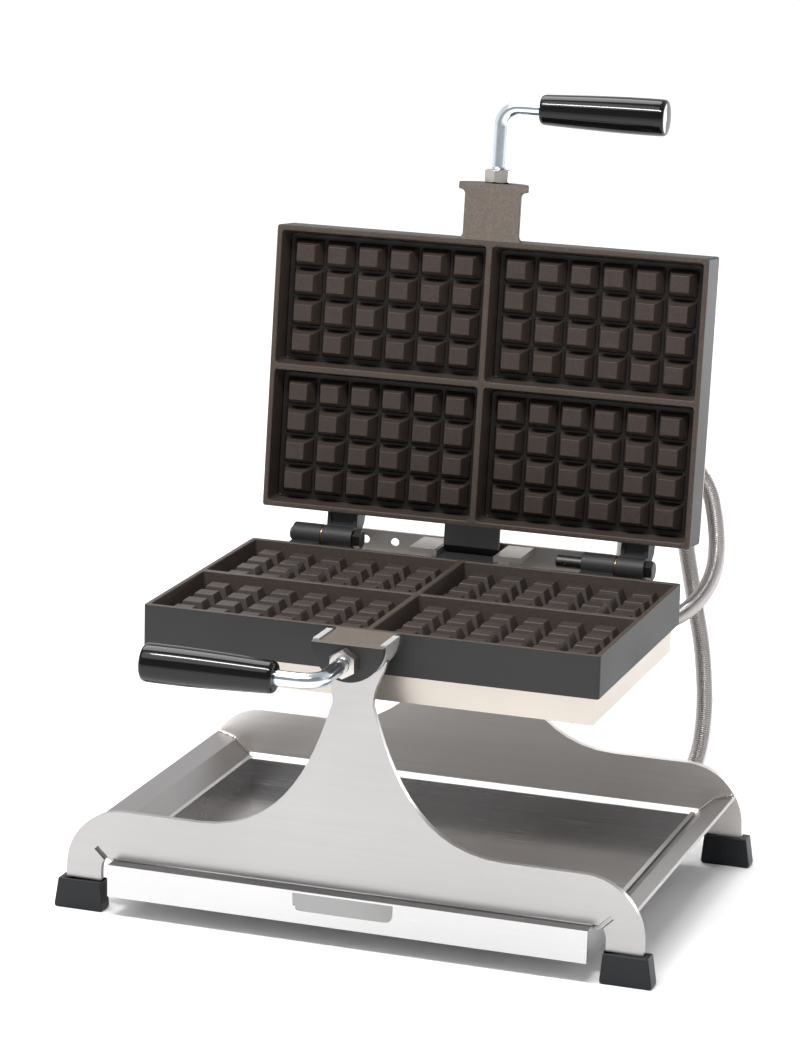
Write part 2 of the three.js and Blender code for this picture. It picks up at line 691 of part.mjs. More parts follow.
// The supply runs from the box, up behind the lid, and down into the lower heater cover.
function supplyRoute() {
  const [boxY, boxZ] = BOX_MIDDLE;
  return vectors([
    [BOX.x[1] - 5, boxY, boxZ],
    [67, boxY, boxZ],
    [88, 169.5, 58.5],
    [108, 171.3, 50],
    [126, 175, 42.5],
    [145, 181, 40],
    [160, 187, 48],
    [167.5, 192, 66],
    [169.5, 198.9, 90],
    [168, 205.4, 111],
    [165, 210.7, 131],
    [161, 215.4, 151],
    [155.6, 218.6, 172],
    [150.6, 220.5, 194],
    [146, 221.5, 215],
    [142.3, 222, 233],
    [137.5, 222, 249],
    [130, 221.5, 260.5],
    [119.5, 219.5, 265],
    [109, 216, 261],
    [102.5, 211.5, 250],
    [SUPPLY_X, 207, 234],
    [SUPPLY_X, 201.5, 215],
    [SUPPLY_X, 190, 197.5],
    [SUPPLY_X, 175, 187.5],
    [SUPPLY_X, 158, LOWER_BACK_Z + 0.3],
    [SUPPLY_X, 138, LOWER_BACK_Z],
    [SUPPLY_X, 120, LOWER_BACK_Z],
    [SUPPLY_X, COVER_BACK - 4, LOWER_BACK_Z],
  ]);
}

// The link runs from the lower heater cover, round to the right, and into the back of the lid.
function lidLinkRoute(lidEnd, lidWay) {
  const back = (distance) => lidEnd.clone().addScaledVector(lidWay, distance);
  return [
    ...vectors([
      [LID_LINK_X, COVER_BACK - 4, LOWER_BACK_Z],
      [LID_LINK_X, 116, LOWER_BACK_Z],
      [141.5, 130, 183.7],
      [150, 143, 185],
      [159.5, 157, 189],
      [166.5, 171, 195.5],
      [170.8, 184, 203.5],
      [172.6, 196.3, 213.5],
      [171.8, 207, 225],
      [169, 215.5, 240],
      [165, 221.5, 254],
      [160.5, 225.5, 266.5],
      [153.5, 227.5, 278],
      [146, 226, 286.5],
      [138, 220, 291.5],
    ]),
    back(26).setX(LID_GLAND[0] + 3.8),
    back(17),
    back(8),
    back(-1),
  ];
}

// ---------------------------------------------------------------- assembly
const machine = new THREE.Group();

const base = new THREE.Group();
base.add(
  part("front_panel", panel(PANEL.front, PANEL.front + PANEL.sheet), STAINLESS),
  part("rear_panel", rearPanel(), STAINLESS),
  part("right_side_rail", sideRail(), STAINLESS),
  part("left_side_rail", mirroredX(sideRail()), STAINLESS),
  part("front_cradle", frontCradle(), STAINLESS),
  part("rear_cradle", rearCradle(), STAINLESS),
  part("rear_cross_plate", crossPlate(), STAINLESS),
  part("cross_plate_bolt_left", crossBolt(-1), ZINC),
  part("cross_plate_bolt_right", crossBolt(1), ZINC),
);
for (const [end, y] of [["front", PANEL.front + PANEL.sheet / 2], ["rear", PANEL.rear - PANEL.sheet / 2]]) {
  base.add(part(`${end}_right_foot`, foot(y), RUBBER));
  base.add(part(`${end}_left_foot`, mirroredX(foot(y)), RUBBER));
}
const supplyGland = gland().rotate([0, 0, -90]);
base.add(
  part("terminal_box", terminalBox(), STAINLESS),
  part("terminal_box_lid", boxLid(), STAINLESS),
  part("terminal_box_screw_left", boxLidScrew(-1), ZINC),
  part("terminal_box_screw_right", boxLidScrew(1), ZINC),
  part("terminal_block", terminalBlock(), CERAMIC),
  part("mains_inlet_gland", inletGland(), BLACK_PLASTIC),
  part("terminal_box_gland", supplyGland.translate([BOX.x[1] + GAP, ...BOX_MIDDLE]), ZINC),
);

const lowerHalf = new THREE.Group();
const lowerBack = AXIS_Z - PLATE.height;
lowerHalf.add(part("lower_plate", lowerPlate(), CAST_IRON));
for (const mesh of handle("lower", AXIS_Z - ROD.below, false)) lowerHalf.add(mesh);
for (const lug of LUGS) {
  const washer = bar("x", HINGE.knuckle - 0.6, lug.lower[1] + 0.2, lug.upper[0] - 0.2, [0, HINGE_Y, HINGE_Z]);
  const hole = bar("x", HINGE.bore, lug.lower[1] - 1, lug.upper[0] + 1, [0, HINGE_Y, HINGE_Z], 16);
  lowerHalf.add(part(`hinge_bolt_${lug.name}`, hingeBolt(lug), HEATER_STEEL));
  lowerHalf.add(part(`hinge_washer_${lug.name}`, washer.subtract(hole), BRASS));
}
for (const [name, x] of [["supply_conduit_gland", SUPPLY_X], ["lower_link_gland", LID_LINK_X]]) {
  lowerHalf.add(part(name, gland().translate([x, COVER_BACK + GAP, LOWER_BACK_Z]), ZINC));
}

// Closed, the lid lies on the lower half; the group then swings it open about the hinge.
const lid = new THREE.Group();
lid.position.set(0, HINGE_Y, HINGE_Z);
lid.rotation.x = THREE.MathUtils.degToRad(-HINGE.opening);
const lidParts = new THREE.Group();
lidParts.position.set(0, -HINGE_Y, -HINGE_Z);
lid.add(lidParts);
lidParts.add(part("upper_plate", upperPlate(), CAST_IRON));
for (const mesh of handle("upper", LID_FACE_Z + ROD.below, true)) lidParts.add(mesh);

// The heating is the same in both halves, upside down in the upper one.
function heating(prefix, group, place, endGlands, backGlands) {
  group.add(
    part(`${prefix}_heater_element`, place(heaterElement()), HEATER_STEEL),
    part(`${prefix}_heater_blanket`, place(heaterBlanket()), BLANKET_WOOL),
    part(`${prefix}_thermostat`, place(thermostat()), CERAMIC),
    part(`${prefix}_heater_cover`, place(heaterCover(endGlands, backGlands)), STAINLESS),
  );
  screwPlaces().forEach((spot, i) => {
    group.add(part(`${prefix}_cover_screw_${i + 1}`, place(coverScrew(spot)), ZINC));
  });
}
const onLower = (shape) => shape.translate([0, 0, lowerBack]);
heating("lower", lowerHalf, onLower, [SUPPLY_X, LID_LINK_X], []);
const upperBack = LID_FACE_Z + PLATE.height;
const onUpper = (shape) => turnedOver(shape).translate([0, 0, upperBack]);
heating("upper", lidParts, onUpper, [], [[-LID_GLAND[0], LID_GLAND[1]]]);

machine.add(base, part("drip_tray", dripTray(), STAINLESS), lowerHalf, lid);

// The lid's end of the link, on the flat back of its heater cover.
const lidGland = gland().rotate([90, 0, 0]).translate([...LID_GLAND, upperBack + COVER.height + GAP]);
lidParts.add(part("upper_link_gland", lidGland, ZINC));
machine.updateMatrixWorld(true);
const lidEnd = lidParts.localToWorld(new THREE.Vector3(...LID_GLAND, upperBack + COVER.height + GAP));
const lidWay = new THREE.Vector3(0, 0, 1).transformDirection(lidParts.matrixWorld);

function conduit(name, points, steps) {
  const curve = new THREE.CatmullRomCurve3(points, false, "centripetal");
  return part(name, rope(curve, CONDUIT.radius, CONDUIT.sides, steps), CONDUIT_STEEL);
}
machine.add(conduit("supply_conduit", supplyRoute(), 44));
machine.add(conduit("lid_link_conduit", lidLinkRoute(lidEnd, lidWay), 32));

// The origin goes under the middle of the whole outline.
const outline = new THREE.Box3().setFromObject(machine, true);
const middle = outline.getCenter(new THREE.Vector3());
machine.position.set(-middle.x, -middle.y, 0);

const root = new THREE.Group();
root.add(machine);

export default root;
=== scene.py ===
"""A turning waffle iron: the visible pieces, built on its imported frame.

Shapes are drawn in millimetres in the machine's own frame, with the front towards -Y and +Z up,
and are turned into metres as each piece is made.
"""
import json
import math

import bmesh
import bpy
from mathutils import Matrix, Vector

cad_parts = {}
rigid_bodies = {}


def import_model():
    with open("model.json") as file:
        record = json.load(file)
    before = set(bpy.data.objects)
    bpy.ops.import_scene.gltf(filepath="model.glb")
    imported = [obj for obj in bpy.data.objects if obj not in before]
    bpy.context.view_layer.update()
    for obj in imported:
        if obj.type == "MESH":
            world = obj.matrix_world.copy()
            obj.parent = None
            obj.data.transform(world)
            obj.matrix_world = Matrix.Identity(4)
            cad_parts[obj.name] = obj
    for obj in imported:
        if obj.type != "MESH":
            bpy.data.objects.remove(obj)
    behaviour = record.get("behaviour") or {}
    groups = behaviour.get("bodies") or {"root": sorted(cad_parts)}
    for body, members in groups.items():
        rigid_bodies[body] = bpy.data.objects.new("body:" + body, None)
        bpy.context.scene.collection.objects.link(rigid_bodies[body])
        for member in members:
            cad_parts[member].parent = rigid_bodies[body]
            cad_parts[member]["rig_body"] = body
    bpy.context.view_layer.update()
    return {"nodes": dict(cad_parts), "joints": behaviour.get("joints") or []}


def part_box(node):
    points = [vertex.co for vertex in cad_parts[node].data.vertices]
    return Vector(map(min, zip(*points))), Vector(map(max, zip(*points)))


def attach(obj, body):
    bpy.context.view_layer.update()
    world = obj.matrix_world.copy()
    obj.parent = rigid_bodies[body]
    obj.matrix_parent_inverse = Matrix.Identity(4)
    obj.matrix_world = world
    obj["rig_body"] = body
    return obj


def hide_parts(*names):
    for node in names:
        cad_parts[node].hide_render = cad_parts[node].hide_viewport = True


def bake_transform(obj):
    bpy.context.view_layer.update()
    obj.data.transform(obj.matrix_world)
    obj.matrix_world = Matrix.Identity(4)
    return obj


bl_info = {
    "name": "Turning Waffle Iron",
    "version": (1, 0, 0),
    "blender": (4, 5, 0),
    "location": "View3D > Sidebar > Waffle Iron",
    "description": "Builds the visible pieces of a turning waffle iron on its packed frame",
    "category": "Add Mesh",
}

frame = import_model()

MM = 0.001
JOINTS = {joint["name"]: joint for joint in frame["joints"]}


def box_mm(node):
    """The lowest and highest corners of a frame node, in millimetres."""
    low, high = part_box(node)
    return Vector(low) / MM, Vector(high) / MM


# ------------------------------------------------------------------ places taken from the frame
COVER_LOW, COVER_HIGH = box_mm("lower_heater_cover")
PLATE_Y = (COVER_LOW.y + COVER_HIGH.y) / 2
AXIS_Z = JOINTS["carriage_rock"]["pos_m"][2] / MM
HINGE_Y = JOINTS["lid_hinge"]["pos_m"][1] / MM
HINGE_Z = JOINTS["lid_hinge"]["pos_m"][2] / MM
OPENING = math.radians(96.1)
LID_FACE = 0.15

# ------------------------------------------------------------------ the castings' pattern
PLATE = {"half": (170.0, 108.5), "height": 31.5, "rim": 4.0, "rib": 4.5, "corner": 2.2}
CELLS = {"across": 6, "deep": 4, "pitch": (25.4, 22.8)}
CAVITY = {"depth": 16.0, "draft": 2.5}
STUD = {"height": 11.5, "top": (7.25, 6.25), "foot": (11.2, 9.9)}
NECK = {"radius": 22.0, "flange": 27.0, "reach": 37.5, "flange_thickness": 5.5, "fillet": 5.0}
REAR = {"lower": 20.5, "upper": 23.0, "chamfer": 7.5}
KNUCKLE = {"radius": 9.0, "bore": 5.3}
LUGS = {
    "left": {"lower": (-142.5, -119.2), "upper": (-118.4, -94.0)},
    "right": {"lower": (89.0, 115.0), "upper": (115.8, 137.5)},
}
ROD = {"radius": 5.5, "below": 12.0, "reach": 57.0, "bend": 13.0, "to_grip": 31.0, "in_grip": 40.0}
BOTTOM_EDGE = 1.2
GAP = 0.3
NECK_TOP = -0.15
CELL_REACH = 3.0
COVER = {"height": 20.0, "conduit_height": 10.0}
LID_GLAND = {"across": 128.0, "from_rear": 50.0}
CONDUIT_RADIUS = 6.65
BOX_PLACE = (168.8, 63.0)


# ------------------------------------------------------------------ shapes
def ring_of(shape, points):
    return [shape.verts.new(point) for point in points]


def skin(shape, first, second, slot=0):
    """Quads between two closed rings of equal length."""
    count = len(first)
    for i in range(count):
        j = (i + 1) % count
        face = shape.faces.new((first[i], first[j], second[j], second[i]))
        face.material_index = slot


def close_ring(shape, ring, slot=0):
    face = shape.faces.new(ring)
    face.material_index = slot


def lofted(rings):
    """A closed body through a row of rings, with flat ends."""
    shape = bmesh.new()
    made = [ring_of(shape, ring) for ring in rings]
    for first, second in zip(made, made[1:]):
        skin(shape, first, second)
    close_ring(shape, made[0])
    close_ring(shape, made[-1])
    bmesh.ops.recalc_face_normals(shape, faces=shape.faces)
    return shape


def turned(profile, sides=48):
    """A turned body about the Z axis from [station, radius] pairs that start and end on the axis."""
    shape = bmesh.new()
    rings = []
    for station, radius in profile:
        if radius == 0:
            rings.append([shape.verts.new((0, 0, station))])
            continue
        angles = [2 * math.pi * i / sides for i in range(sides)]
        points = [(radius * math.cos(a), radius * math.sin(a), station) for a in angles]
        rings.append(ring_of(shape, points))
    for first, second in zip(rings, rings[1:]):
        if len(first) > 1 and len(second) > 1:
            skin(shape, first, second)
            continue
        tip, ring = (first[0], second) if len(first) == 1 else (second[0], first)
        for i in range(sides):
            shape.faces.new((tip, ring[i], ring[(i + 1) % sides]))
    bmesh.ops.recalc_face_normals(shape, faces=shape.faces)
    return shape


def hollow_turned(profile, sides=48):
    """A turned body with a hole through it, from a closed profile of [station, radius] pairs."""
    shape = bmesh.new()
    angles = [2 * math.pi * i / sides for i in range(sides)]
    rings = [
        ring_of(shape, [(r * math.cos(a), r * math.sin(a), z) for a in angles]) for z, r in profile
    ]
    for first, second in zip(rings, rings[1:] + rings[:1]):
        skin(shape, first, second)
    bmesh.ops.recalc_face_normals(shape, faces=shape.faces)
    return shape


def rod_between(radius, start, end, sides=32):
    return turned([(start, 0), (start, radius), (end, radius), (end, 0)], sides)


def block(low, high):
    shape = bmesh.new()
    bmesh.ops.create_cube(shape, size=1.0)
    for vert in shape.verts:
        vert.co = Vector([low[k] if vert.co[k] < 0 else high[k] for k in range(3)])
    bmesh.ops.recalc_face_normals(shape, faces=shape.faces)
    return shape


def prism(outline, start, end, axis="X"):
    """A closed outline drawn out along X, in YZ, or along Z, in XY."""
    if axis == "X":
        rings = [[(station, a, b) for a, b in outline] for station in (start, end)]
    else:
        rings = [[(a, b, station) for a, b in outline] for station in (start, end)]
    return lofted(rings)


def moved(shape, matrix):
    bmesh.ops.transform(shape, matrix=matrix, verts=shape.verts)
    return shape


def rounded(shape, width, segments=2, limit=30.0):
    """Rounds every edge whose faces meet at more than the limit."""
    sharp = [e for e in shape.edges if e.calc_face_angle(0.0) > math.radians(limit)]
    bmesh.ops.bevel(
        shape, geom=sharp, offset=width, segments=segments, profile=0.5,
        affect="EDGES", clamp_overlap=True,
    )
    return shape


def combined(operation, shape, *others):
    """One shape joined with, cut by, or kept inside the others."""
    result = shape
    for other in others:
        made = []
        for part in (result, other):
            mesh = bpy.data.meshes.new("work")
            part.to_mesh(mesh)
            part.free()
            holder = bpy.data.objects.new("work", mesh)
            bpy.context.scene.collection.objects.link(holder)
            made.append(holder)
        cutter = made[0].modifiers.new("work", "BOOLEAN")
        cutter.operation = operation
        cutter.solver = "EXACT"
        cutter.object = made[1]
        result = evaluated_shape(made[0])
        for holder in made:
            mesh = holder.data
            bpy.data.objects.remove(holder)
            bpy.data.meshes.remove(mesh)
    if not result.faces:
        raise RuntimeError("a boolean step left nothing")
    return result


def evaluated_shape(holder):
    graph = bpy.context.evaluated_depsgraph_get()
    shape = bmesh.new()
    shape.from_mesh(holder.evaluated_get(graph).to_mesh())
    holder.evaluated_get(graph).to_mesh_clear()
    return shape


def transported(path):
    """A frame of two cross directions at each point of a path, carried along without twist."""
    tangents = []
    for i in range(len(path)):
        before = path[max(i - 1, 0)]
        after = path[min(i + 1, len(path) - 1)]
        tangents.append((after - before).normalized())
    side = tangents[0].orthogonal().normalized()
    frames = []
    for tangent in tangents:
        side = (side - tangent * side.dot(tangent)).normalized()
        frames.append((side, tangent.cross(side)))
    return frames


def swept(path, radius, sides=32):
    """A round body along a path. The radius is a number or a function of station and turn."""
    rings = []
    for i, (point, (side, up)) in enumerate(zip(path, transported(path))):
        ring = []
        for k in range(sides):
            turn = k / sides
            reach = radius(i, turn) if callable(radius) else radius
            angle = 2 * math.pi * turn
            ring.append(point + side * (reach * math.cos(angle)) + up * (reach * math.sin(angle)))
        rings.append(ring)
    return lofted(rings)


def along_bend(start, corner, end, radius, steps=14):
    """A path from start to end that turns a square corner with the given radius."""
    inward = (start - corner).normalized()
    outward = (end - corner).normalized()
    centre = corner + (inward + outward) * radius
    path = [start]
    for i in range(steps + 1):
        angle = math.pi / 2 * i / steps
        path.append(centre - outward * (radius * math.cos(angle)) - inward * (radius * math.sin(angle)))
    path.append(end)
    return path


def spread(path, step):
    """The same path with points at an even distance."""
    lengths = [0.0]
    for first, second in zip(path, path[1:]):
        lengths.append(lengths[-1] + (second - first).length)
    count = max(2, round(lengths[-1] / step))
    points = []
    k = 0
    for i in range(count + 1):
        place = lengths[-1] * i / count
        while k < len(path) - 2 and lengths[k + 1] < place:
            k += 1
        share = (place - lengths[k]) / max(lengths[k + 1] - lengths[k], 1e-9)
        points.append(path[k].lerp(path[k + 1], share))
    return points


def hermite(first, second, slope_in, slope_out, t):
    a = 2 * t**3 - 3 * t**2 + 1
    b = t**3 - 2 * t**2 + t
    return first * a + slope_in * b + second * (1 - a) + slope_out * (t**3 - t**2)


def smooth_curve(points, steps=24):
    """A centripetal Catmull-Rom curve through the points."""
    ends = [points[0] * 2 - points[1], *points, points[-1] * 2 - points[-2]]
    path = []
    for p0, p1, p2, p3 in zip(ends, ends[1:], ends[2:], ends[3:]):
        d0, d1, d2 = (max((b - a).length, 1e-9) ** 0.5 for a, b in ((p0, p1), (p1, p2), (p2, p3)))
        slope_in = ((p1 - p0) / d0 - (p2 - p0) / (d0 + d1) + (p2 - p1) / d1) * d1
        slope_out = ((p2 - p1) / d1 - (p3 - p1) / (d1 + d2) + (p3 - p2) / d2) * d1
        for i in range(steps):
            path.append(hermite(p1, p2, slope_in, slope_out, i / steps))
    path.append(points[-1].copy())
    return path


# ------------------------------------------------------------------ making a piece
def weighted(holder):
    """Gives flat faces their own normal and shades the small rounds between them smoothly."""
    holder.modifiers.new("normals", "WEIGHTED_NORMAL").keep_sharp = True
    graph = bpy.context.evaluated_depsgraph_get()
    mesh = bpy.data.meshes.new_from_object(holder.evaluated_get(graph))
    old = holder.data
    holder.modifiers.clear()
    holder.data = mesh
    bpy.data.meshes.remove(old)


def make_piece(name, shape, finishes, body, nodes=(), sharp=35.0, place=None):
    """A visible piece that rides on a body and stands for the given frame nodes."""
    if place is not None:
        moved(shape, place)
    bmesh.ops.scale(shape, vec=(MM, MM, MM), verts=shape.verts)
    for face in shape.faces:
        face.smooth = True
    mesh = bpy.data.meshes.new(name)
    shape.to_mesh(mesh)
    shape.free()
    for finish in finishes:
        mesh.materials.append(finish)
    mesh.set_sharp_from_angle(angle=math.radians(sharp))
    piece = bpy.data.objects.new(name, mesh)
    bpy.context.scene.collection.objects.link(piece)
    weighted(piece)
    piece.data.name = name
    if body is not None:
        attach(piece, body)
    if nodes:
        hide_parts(*nodes)
    return piece


def frame_shape(node):
    """A copy of a frame node's shape in millimetres, with its flat faces whole again."""
    shape = bmesh.new()
    shape.from_mesh(frame["nodes"][node].data)
    bmesh.ops.scale(shape, vec=(1 / MM,) * 3, verts=shape.verts)
    bmesh.ops.remove_doubles(shape, verts=shape.verts, dist=0.002)
    bmesh.ops.dissolve_limit(
        shape, angle_limit=math.radians(0.6), verts=shape.verts, edges=shape.edges
    )
    return shape


def dressed(node, finish, width, segments=2, limit=30.0, sharp=35.0):
    """A frame node's shape with rounded edges."""
    shape = rounded(frame_shape(node), width, segments, limit)
    body = frame["nodes"][node]["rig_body"]
    return make_piece(f"{node}_visual", shape, [finish], body, [node], sharp)


# ------------------------------------------------------------------ finishes
class Link:
    """A node's output, which adds Math nodes when it stands in an expression."""

    def __init__(self, finish, socket):
        self.finish = finish
        self.socket = socket

    def math(self, operation, first, second):
        return self.finish.node("ShaderNodeMath", {"operation": operation}, {0: first, 1: second})

    def __add__(self, other):
        return self.math("ADD", self, other)

    def __radd__(self, other):
        return self.math("ADD", other, self)

    def __sub__(self, other):
        return self.math("SUBTRACT", self, other)

    def __rsub__(self, other):
        return self.math("SUBTRACT", other, self)

    def __mul__(self, other):
        return self.math("MULTIPLY", self, other)

    def __rmul__(self, other):
        return self.math("MULTIPLY", other, self)


class Graph:
    """A node tree, and the ways of adding nodes to it."""

    def __init__(self, tree):
        self.tree = tree

    def node(self, kind, settings=None, inputs=None, output=0):
        """Adds a node, sets it up, feeds its sockets, and gives one of its outputs."""
        made = self.tree.nodes.new(kind)
        for key, value in (settings or {}).items():
            if key == "stops":
                self.set_stops(made.color_ramp, value)
            else:
                setattr(made, key, value)
        for key, value in (inputs or {}).items():
            self.feed(made.inputs[key], value)
        return Link(self, made.outputs[output])

    def set_stops(self, ramp, stops):
        ramp.elements.remove(ramp.elements[1])
        ramp.elements[0].position, ramp.elements[0].color = stops[0]
        for position, colour in stops[1:]:
            ramp.elements.new(position).color = colour

    def feed(self, socket, value):
        if isinstance(value, Link):
            self.tree.links.new(value.socket, socket)
        else:
            socket.default_value = value

    def mask(self, value, low, high):
        """The value spread from 0 at low to 1 at high."""
        return self.node(
            "ShaderNodeMapRange", {"clamp": True},
            {"Value": value, "From Min": low, "From Max": high},
        )

    def mix(self, factor, first, second, blend="MIX"):
        settings = {"data_type": "RGBA", "blend_type": blend}
        return self.node("ShaderNodeMix", settings, {0: factor, 6: first, 7: second}, output=2)


class Finish(Graph):
    """A material and its Principled shader."""

    def __init__(self, name, constants):
        self.material = bpy.data.materials.new(name)
        self.material.use_nodes = True
        super().__init__(self.material.node_tree)
        self.shader = self.tree.nodes["Principled BSDF"]
        for socket, value in constants.items():
            self.shader.inputs[socket].default_value = value
        self.place = self.node("ShaderNodeTexCoord", output="Object")

    def set(self, socket, value):
        self.feed(self.shader.inputs[socket], value)

    def noise(self, scale, detail=3.0, stretch=None, roughness=0.5):
        place = self.place
        if stretch:
            place = self.node(
                "ShaderNodeVectorMath", {"operation": "MULTIPLY"}, {0: place, 1: stretch}
            )
        sockets = {"Vector": place, "Scale": scale, "Detail": detail, "Roughness": roughness}
        return self.node("ShaderNodeTexNoise", None, sockets)

    def bump(self, height, depth, strength=1.0):
        """Lets a height in [0, 1] stand out by the given depth in metres."""
        sockets = {"Height": height, "Distance": depth, "Strength": strength}
        self.set("Normal", self.node("ShaderNodeBump", None, sockets))


def tone(colour, factor=1.0):
    return (colour[0] * factor, colour[1] * factor, colour[2] * factor, 1.0)


def sheet_steel(name, colour, roughness, grain, streak=0.1, marks=0.0):
    """Brushed sheet, with its grain drawn out along the axis that has the small factor."""
    finish = Finish(name, {"Metallic": 1.0})
    lines = finish.noise(5.0, 7.0, grain, 0.65)
    cloud = finish.noise(11.0, 3.0)
    shade = finish.mix(lines, tone(colour, 0.9), tone(colour, 1.1))
    shade = finish.mix(cloud * 0.5, shade, tone(colour, 0.9))
    rough = roughness + (lines - 0.5) * streak + (cloud - 0.5) * 0.1
    if marks:
        scratch = finish.mask(finish.noise(3.0, 9.0, [g * 4 for g in grain], 0.8), 0.62, 0.7)
        shade = finish.mix(scratch * marks, shade, tone(colour, 1.35))
        rough = rough + scratch * (marks * 0.4)
    finish.set("Base Color", shade)
    finish.set("Roughness", rough)
    finish.bump(lines, 0.00003, 0.35)
    return finish.material


def sand_cast_iron(name, colour, fleck, roughness, depth=0.00012, cover=0.5, gloss=0.35):
    """Iron with the fine grain of a sand mould, and flecks of seasoning."""
    finish = Finish(name, {"Specular IOR Level": gloss})
    grain = finish.noise(900.0, 4.0, None, 0.7)
    coarse = finish.noise(420.0, 3.0, None, 0.6)
    cloud = finish.noise(14.0, 2.0)
    spots = finish.mask(grain, 0.5, 0.66)
    patches = finish.mask(coarse, 0.5, 0.62)
    shade = finish.mix(spots * cover, tone(colour), tone(fleck))
    shade = finish.mix(patches * (cover * 0.7), shade, tone(fleck, 0.85))
    shade = finish.mix(cloud * 0.6, shade, tone(colour, 0.7))
    finish.set("Base Color", shade)
    finish.set("Roughness", roughness + (grain - 0.5) * 0.3 + (cloud - 0.5) * 0.12)
    finish.bump(grain * 0.6 + coarse * 0.4, depth, 0.8)
    return finish.material


def plated_steel(name, colour, roughness, mottle=0.12):
    finish = Finish(name, {"Metallic": 1.0})
    cloud = finish.noise(90.0, 4.0)
    fine = finish.noise(1400.0, 2.0)
    finish.set("Base Color", finish.mix(cloud, tone(colour, 1 - mottle), tone(colour, 1 + mottle)))
    finish.set("Roughness", roughness + (cloud - 0.5) * 0.12 + (fine - 0.5) * 0.05)
    finish.bump(fine, 0.00001, 0.3)
    return finish.material


def moulded(name, colour, roughness, gloss=0.5, grain=0.00002):
    finish = Finish(name, {"Specular IOR Level": gloss})
    flow = finish.noise(35.0, 3.0)
    fine = finish.noise(1600.0, 2.0)
    finish.set("Base Color", finish.mix(flow, tone(colour, 0.85), tone(colour, 1.2)))
    finish.set("Roughness", roughness + (flow - 0.5) * 0.06 + (fine - 0.5) * 0.04)
    finish.bump(fine, grain, 0.3)
    return finish.material


def matted_wool(name, colour):
    finish = Finish(name, {"Roughness": 0.95})
    fibre = finish.noise(500.0, 6.0, (1.0, 0.2, 1.0), 0.7)
    finish.set("Base Color", finish.mix(fibre, tone(colour, 0.75), tone(colour, 1.05)))
    finish.bump(fibre, 0.0006, 0.8)
    return finish.material


class SheetSettings(bpy.types.PropertyGroup):
    """Sizes and colour of the stainless sheet."""

    edge: bpy.props.FloatProperty(
        name="Edge Round", description="Rounding of cut sheet edges", default=0.00045,
        min=0.0001, max=0.001, unit="LENGTH", precision=5,
    )
    colour: bpy.props.FloatVectorProperty(
        name="Steel", description="Colour of the stand's stainless steel",
        default=(0.40, 0.388, 0.388), min=0.0, max=1.0, subtype="COLOR",
    )
    # Far lighter than the stand's other steel: painted light, standing for the light that the rear panel,
    # the rear cradle and the cross plate catch.
    rear_lit_colour: bpy.props.FloatVectorProperty(
        name="Rear Steel", description="Colour of the rear panel and its cradle",
        default=(0.92, 0.885, 0.86), min=0.0, max=1.0, subtype="COLOR",
    )
    tray_colour: bpy.props.FloatVectorProperty(
        name="Tray Steel", description="Colour of the drip tray's stainless steel",
        default=(0.55, 0.545, 0.545), min=0.0, max=1.0, subtype="COLOR",
    )
    cover_colour: bpy.props.FloatVectorProperty(
        name="Cover Steel", description="Colour of the heater covers, a little straw-tinted by heat",
        default=(0.52, 0.475, 0.43), min=0.0, max=1.0, subtype="COLOR",
    )
    roughness: bpy.props.FloatProperty(
        name="Roughness", description="How matt the sheet is", default=0.33, min=0.0, max=1.0,
        subtype="FACTOR",
    )


class CastingSettings(bpy.types.PropertyGroup):
    """Edges and colours of the castings."""

    stud_edge: bpy.props.FloatProperty(
        name="Stud Edge", description="Rounding of the studs' upright edges", default=0.0007,
        min=0.0003, max=0.002, unit="LENGTH", precision=5,
    )
    side_colour: bpy.props.FloatVectorProperty(
        name="Sides", description="Colour of the castings' outside",
        default=(0.018, 0.018, 0.019), min=0.0, max=1.0, subtype="COLOR",
    )
    rim_colour: bpy.props.FloatVectorProperty(
        name="Rims", description="Colour of the seasoned rims and ribs",
        default=(0.046, 0.033, 0.026), min=0.0, max=1.0, subtype="COLOR",
    )
    stud_colour: bpy.props.FloatVectorProperty(
        name="Stud Tops", description="Colour of the seasoned stud tops",
        default=(0.030, 0.020, 0.017), min=0.0, max=1.0, subtype="COLOR",
    )
    # Much darker than the other seasoned faces: painted shade on the groove floors and on the feet of
    # studs and walls.
    groove_shade_colour: bpy.props.FloatVectorProperty(
        name="Grooves", description="Colour of the seasoned groove floors",
        default=(0.0095, 0.007, 0.006), min=0.0, max=1.0, subtype="COLOR",
    )
    flank_colour: bpy.props.FloatVectorProperty(
        name="Flanks", description="Colour of the stud sides and the cavity walls",
        default=(0.040, 0.030, 0.026), min=0.0, max=1.0, subtype="COLOR",
    )
    raw_colour: bpy.props.FloatVectorProperty(
        name="Bare Iron", description="Colour of the necks' flat faces",
        default=(0.105, 0.086, 0.072), min=0.0, max=1.0, subtype="COLOR",
    )


class FittingSettings(bpy.types.PropertyGroup):
    """Sizes and colours of the handles and conduits."""

    rod_colour: bpy.props.FloatVectorProperty(
        name="Rods", description="Colour of the zinc-plated rods",
        default=(0.72, 0.79, 0.85), min=0.0, max=1.0, subtype="COLOR",
    )
    grip_colour: bpy.props.FloatVectorProperty(
        name="Grips", description="Colour of the grips", default=(0.003, 0.003, 0.0035),
        min=0.0, max=1.0, subtype="COLOR",
    )
    foot_colour: bpy.props.FloatVectorProperty(
        name="Feet", description="Colour of the rubber feet", default=(0.010, 0.011, 0.013),
        min=0.0, max=1.0, subtype="COLOR",
    )
    conduit_pitch: bpy.props.FloatProperty(
        name="Conduit Pitch", description="Distance between the turns of the conduit's strip",
        default=0.0016, min=0.001, max=0.005, unit="LENGTH", precision=5,
    )
    conduit_rib: bpy.props.FloatProperty(
        name="Conduit Rib", description="Depth of the groove between two turns",
        default=0.0006, min=0.0001, max=0.0015, unit="LENGTH", precision=5,
    )
    conduit_colour: bpy.props.FloatVectorProperty(
        name="Conduit", description="Colour of the conduit's steel strip",
        default=(0.42, 0.40, 0.395), min=0.0, max=1.0, subtype="COLOR",
    )


